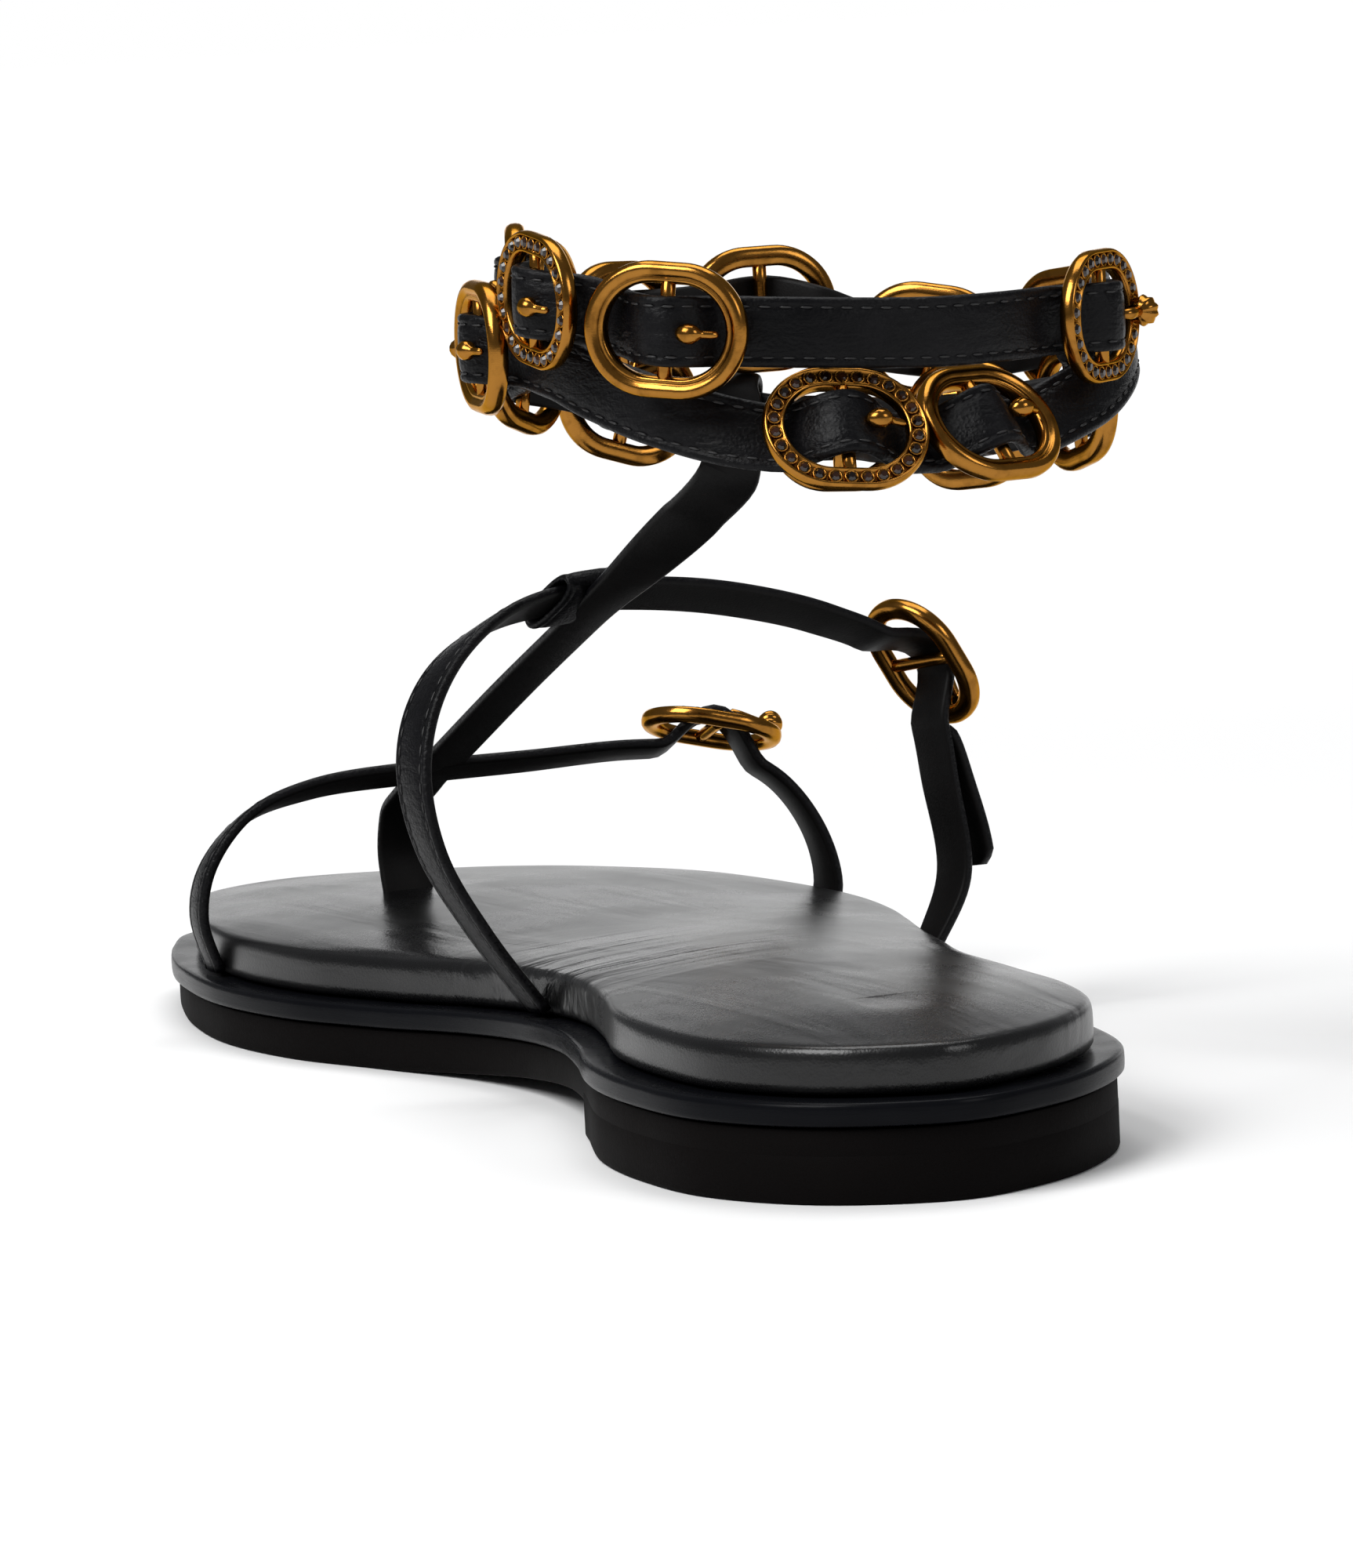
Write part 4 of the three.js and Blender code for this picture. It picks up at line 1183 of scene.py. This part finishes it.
def cupTree(finish):
    graph, start = growingTree("cupRing", Count="Int", Cup="Float", Wall="Float")
    places, rotation = evenPlaces(graph, start, "COUNT", "Count")
    circles = []
    for steps, size in ((12, "Cup"), (5, "Wall")):
        sockets = {"Resolution": steps, "Radius": graph.out(start, size)}
        circles.append(graph.out(graph.node("GeometryNodeCurvePrimitiveCircle", sockets)))
    cup = graph.node("GeometryNodeCurveToMesh", {"Curve": circles[0], "Profile Curve": circles[1]})
    return finishTree(graph, places, graph.out(cup), rotation, finish, True)


def ringTree(finish):
    graph, start = growingTree("ringRow", Ring="Object")
    sockets = {"Object": graph.out(start, "Ring")}
    shape = graph.node("GeometryNodeObjectInfo", sockets, transform_space="ORIGINAL")
    rotation = turnedTo(graph, namedVector(graph, "along"), namedVector(graph, "outward"))
    points, single = graph.out(start, "Geometry"), graph.out(shape, "Geometry")
    return finishTree(graph, points, single, rotation, finish, True)


def makeStitches():
    points, edges, outs = [], [], []
    for line in stitches:
        first = len(points)
        points += [point for point, _ in line]
        outs += [out for _, out in line]
        edges += [(first + i, first + i + 1) for i in range(len(line) - 1)]
    guide = guideMesh("strap_stitching", points, edges, {"outward": outs})
    values = {name.capitalize(): stitching[name] * mm for name in ("pitch", "length", "thread")}
    addPiece(grown(guide, stitchTree(threadFinish), values), "strap_leather")


makeStitches()
print("stitches ready")


ring = {
    "width": 20.4,
    "height": 16.4,
    "tube": 1.3,
    "steps": 80,
    "stones": 26,
    "stone": 0.7,
    "cup": 0.78,
    "cupWall": 0.14,
    "stoneInset": 0.04,
    "stoneLift": 0.74,
    "cupLift": 0.72,
}
bead = {
    "middle": (8.5, 0, 2.05),
    "radius": 1.85,
    "flutes": 10,
    "fluteDepth": 0.075,
    "rows": 15,
    "sides": 40,
}
# distance out from the rim's middle line, height above the ring's plane
plainSection = [
    (-1.35, -0.75), (-1.38, 0.0), (-1.32, 0.5), (-1.1, 0.85), (-0.8, 0.98), (-0.6, 0.86), (-0.42, 1.0),
    (0.0, 1.32), (0.5, 1.36), (0.95, 1.1), (1.24, 0.6), (1.3, 0.0), (1.2, -0.6), (0.85, -1.02),
    (0.0, -1.18), (-0.9, -1.05),
]
stoneSection = [
    (-1.35, -0.75), (-1.38, 0.1), (-1.3, 0.66), (-1.1, 0.92), (-0.9, 0.88), (-0.78, 0.55), (-0.4, 0.5),
    (0.3, 0.5), (0.7, 0.55), (0.82, 0.88), (1.02, 0.92), (1.22, 0.62), (1.3, 0.0), (1.2, -0.6), (0.85, -1.02),
    (0.0, -1.18), (-0.9, -1.05),
]


# The rim's middle line, an oval, with its outward directions.
def ringPath(steps, inset=0.0):
    radius = ring["height"] / 2 - ring["tube"]
    flat = ring["width"] - ring["height"]
    half = math.pi * radius + flat
    path = []
    for i in range(steps):
        turned, along = divmod((2 * half * i / steps + flat / 2) % (2 * half), half)
        angle = max(along - flat, 0) / radius - math.pi / 2 + math.pi * turned
        out = np.array([math.cos(angle), math.sin(angle)])
        end = (min(along, flat) - flat / 2) * (1 - 2 * turned)
        path.append((np.array([end, 0]) + out * (radius + inset), out))
    return path


def addRim(verts, faces, section):
    start, steps = len(verts), ring["steps"]
    for point, out in ringPath(steps):
        verts += [(*(point + out * away), height) for away, height in section]
    faces += tubeFaces(start, steps, len(section), True)


# A round rod through (x, y, z, radius) rows.
def addTurned(verts, faces, spineRows, sides=14):
    start = len(verts)
    rows = [np.array(row[:3], float) for row in spineRows]
    side = np.array([0, 1.0, 0]) if abs(rows[-1][1] - rows[0][1]) < 1 else np.array([1.0, 0, 0])
    frames = framesAlong(rows, [side] * len(rows))
    for (point, _, across, out), row in zip(frames, spineRows):
        for k in range(sides):
            angle = 2 * math.pi * k / sides
            verts.append(tuple(point + row[3] * (across * math.cos(angle) + out * math.sin(angle))))
    faces += tubeFaces(start, len(rows), sides)


# A fluted bead on the closing rings' pins.
def addBead(verts, faces):
    start, rows, sides = len(verts), bead["rows"], bead["sides"]
    for i in range(1, rows):
        tilt = math.pi * i / rows
        for k in range(sides):
            turn = 2 * math.pi * k / sides
            swell = 1 + bead["fluteDepth"] * math.cos(bead["flutes"] * turn) * math.sin(tilt)
            radius = bead["radius"] * math.sin(tilt) * swell
            away = (bead["radius"] * math.cos(tilt), radius * math.cos(turn), radius * math.sin(turn))
            verts.append(tuple(np.array(bead["middle"]) + away))
    faces += tubeFaces(start, rows - 1, sides)


# pin over the strap, from the hole in it to the rim: x, y, z, radius
smallPin = [
    (2.3, 0, 1.6, 0.3), (2.5, 0, 2.1, 0.74), (2.85, 0, 2.55, 1.08),
    (3.5, 0, 2.85, 1.26), (4.15, 0, 2.82, 1.2), (4.65, 0, 2.62, 0.9),
    (4.95, 0, 2.42, 0.56), (5.4, 0, 2.25, 0.47), (6.2, 0, 1.98, 0.45), (6.7, 0, 1.72, 0.42), (6.95, 0, 1.55, 0.2),
]
longPin = [
    (2.0, 0, 1.6, 0.3), (2.3, 0, 2.2, 0.6), (2.9, 0, 2.7, 0.72), (4.0, 0, 2.6, 0.7),
    (6.0, 0, 2.2, 0.68), (7.6, 0, 1.9, 0.66), (8.4, 0, 1.8, 0.6),
]


# One ring buckle lying in its own plane: x along the strap, y across it, z outwards.
def ringShape(name, section, pin, beaded):
    verts, faces = [], []
    addRim(verts, faces, section)
    reach = ring["height"] / 2 - ring["tube"]
    addTurned(verts, faces, [(0, y, 0, strap["barRadius"]) for y in np.linspace(-reach, reach, 5)])
    addTurned(verts, faces, pin)
    if beaded:
        addBead(verts, faces)
    return meshObject(name, verts, faces, [goldFinish])


def makeRings():
    closing = ["ring_closing", "ring_toe", "ring_instep"]
    plain = [name for name in ringFrames if name not in crystalRings]
    stony = [name for name in ringFrames if name in crystalRings and name not in closing]
    # rings of this kind, rim's section, pin
    kinds = {
        "plain_ring_buckles": (plain, plainSection, smallPin),
        "stone_ring_buckles": (stony, stoneSection, smallPin),
        "closing_buckles": (closing, stoneSection, longPin),
    }
    graph = ringTree(goldFinish)
    for label, (members, section, pin) in kinds.items():
        single = ringShape(label + "_unit", section, pin, members is closing)
        points, alongs, _, outs = zip(*(ringFrames[name] for name in members))
        guide = guideMesh(label, points, [], {"along": alongs, "outward": outs})
        grown(guide, graph, {"Ring": single})
        bpy.data.objects.remove(single)
        addPiece(guide, "ring_metal", *members)


def makeStones():
    path = ringPath(ring["steps"], -ring["stoneInset"])
    count = len(path)
    stones, cups, edges, outs = [], [], [], []
    for name in sorted(crystalRings):
        point, along, across, out = ringFrames[name]
        first = len(stones)
        stones += [point + along * x + across * y + out * ring["stoneLift"] for (x, y), _ in path]
        cups += [point + along * x + across * y + out * ring["cupLift"] for (x, y), _ in path]
        outs += [out] * count
        edges += [(first + i, first + (i + 1) % count) for i in range(count)]
    guide = guideMesh("ring_stones", stones, edges, {"outward": outs})
    values = {"Count": ring["stones"], "Stone": ring["stone"] * mm}
    addPiece(grown(guide, stoneTree(crystalFinish), values), "ring_metal")
    guide = guideMesh("ring_stone_cups", cups, edges, {"outward": outs})
    values = {"Count": ring["stones"], "Cup": ring["cup"] * mm, "Wall": ring["cupWall"] * mm}
    addPiece(grown(guide, cupTree(beadFinish), values), "ring_metal")


makeRings()
makeStones()
print("ring buckles ready")


# brightness of the floor, of the white beyond it, of the sky in view and of the light around the
# shoe; the floor turns to white between the two reaches, in metres from its centre
studio = {
    "floor": 0.85,
    "white": 1.02,
    "sky": 1.0,
    "surroundings": 0.17,
    "centre": (0.01, 0.09, 0),
    "shadowReach": 0.2,
    "whiteReach": 0.5,
    "half": 6,
}
# name, place, width, height and power of each lamp, and where it points
lamps = [
    ("keyLight", (-1.15, -0.3, 1.3), 1.0, 1.0, 30, (0, 0.08, 0.05)),
    ("topLight", (0.3, 0.5, 1.7), 1.2, 1.2, 16, (0, 0.08, 0.05)),
    ("sideLight", (0.7, -1.2, 0.8), 0.6, 0.6, 4, (0, 0.05, 0.05)),
    ("backLight", (0.95, 1.75, 0.24), 1.6, 0.42, 2.5, (0, 0.08, 0.0)),
]


def makeWorld():
    world = bpy.data.worlds.new("studio")
    bpy.context.scene.world = world
    world.use_nodes = True
    world.node_tree.nodes.clear()
    graph = Graph(world.node_tree)
    shown = graph.node("ShaderNodeBackground", {"Color": (1, 1, 1), "Strength": studio["sky"]})
    sockets = {"Color": (0.95, 0.97, 1), "Strength": studio["surroundings"]}
    around = graph.node("ShaderNodeBackground", sockets)
    rays = graph.out(graph.node("ShaderNodeLightPath"), "Is Camera Ray")
    chosen = graph.node("ShaderNodeMixShader", {0: rays, 1: graph.out(around), 2: graph.out(shown)})
    graph.node("ShaderNodeOutputWorld", {"Surface": graph.out(chosen)})


# A pale floor that brightens into the white surroundings away from the shoe.
def makeFloor():
    corners = [(studio["half"] * x, studio["half"] * y, 0) for x, y in ((-1, -1), (1, -1), (1, 1), (-1, 1))]
    mesh = bpy.data.meshes.new("floor")
    mesh.from_pydata(corners, [], [(0, 1, 2, 3)])
    floor = inScene("floor", mesh)
    finish = Finish("paleFloor", Roughness=0.7, Specular_IOR_Level=0.0, Emission_Strength=1.0)
    away = finish.distanceFrom(studio["centre"])
    far = finish.steps(away, (studio["shadowReach"], 0.0), (studio["whiteReach"], 1.0))
    finish.feed(
        Base_Color=finish.blended(far, (studio["floor"],) * 3, (0.0, 0.0, 0.0)),
        Emission_Color=finish.blended(far, (0.0, 0.0, 0.0), (studio["white"],) * 3),
    )
    mesh.materials.append(finish.material)


def makeLamps():
    for name, place, width, height, power, aim in lamps:
        data = bpy.data.lights.new(name, "AREA")
        data.shape = "RECTANGLE"
        data.size = width
        data.size_y = height
        data.energy = power
        lamp = inScene(name, data)
        lamp.location = place
        lamp.visible_camera = False
        lamp.rotation_mode = "QUATERNION"
        lamp.rotation_quaternion = (Vector(aim) - Vector(place)).to_track_quat("-Z", "Y")


makeFloor()
makeWorld()
makeLamps()
bpy.context.scene.view_settings.view_transform = "Standard"
print("studio ready")
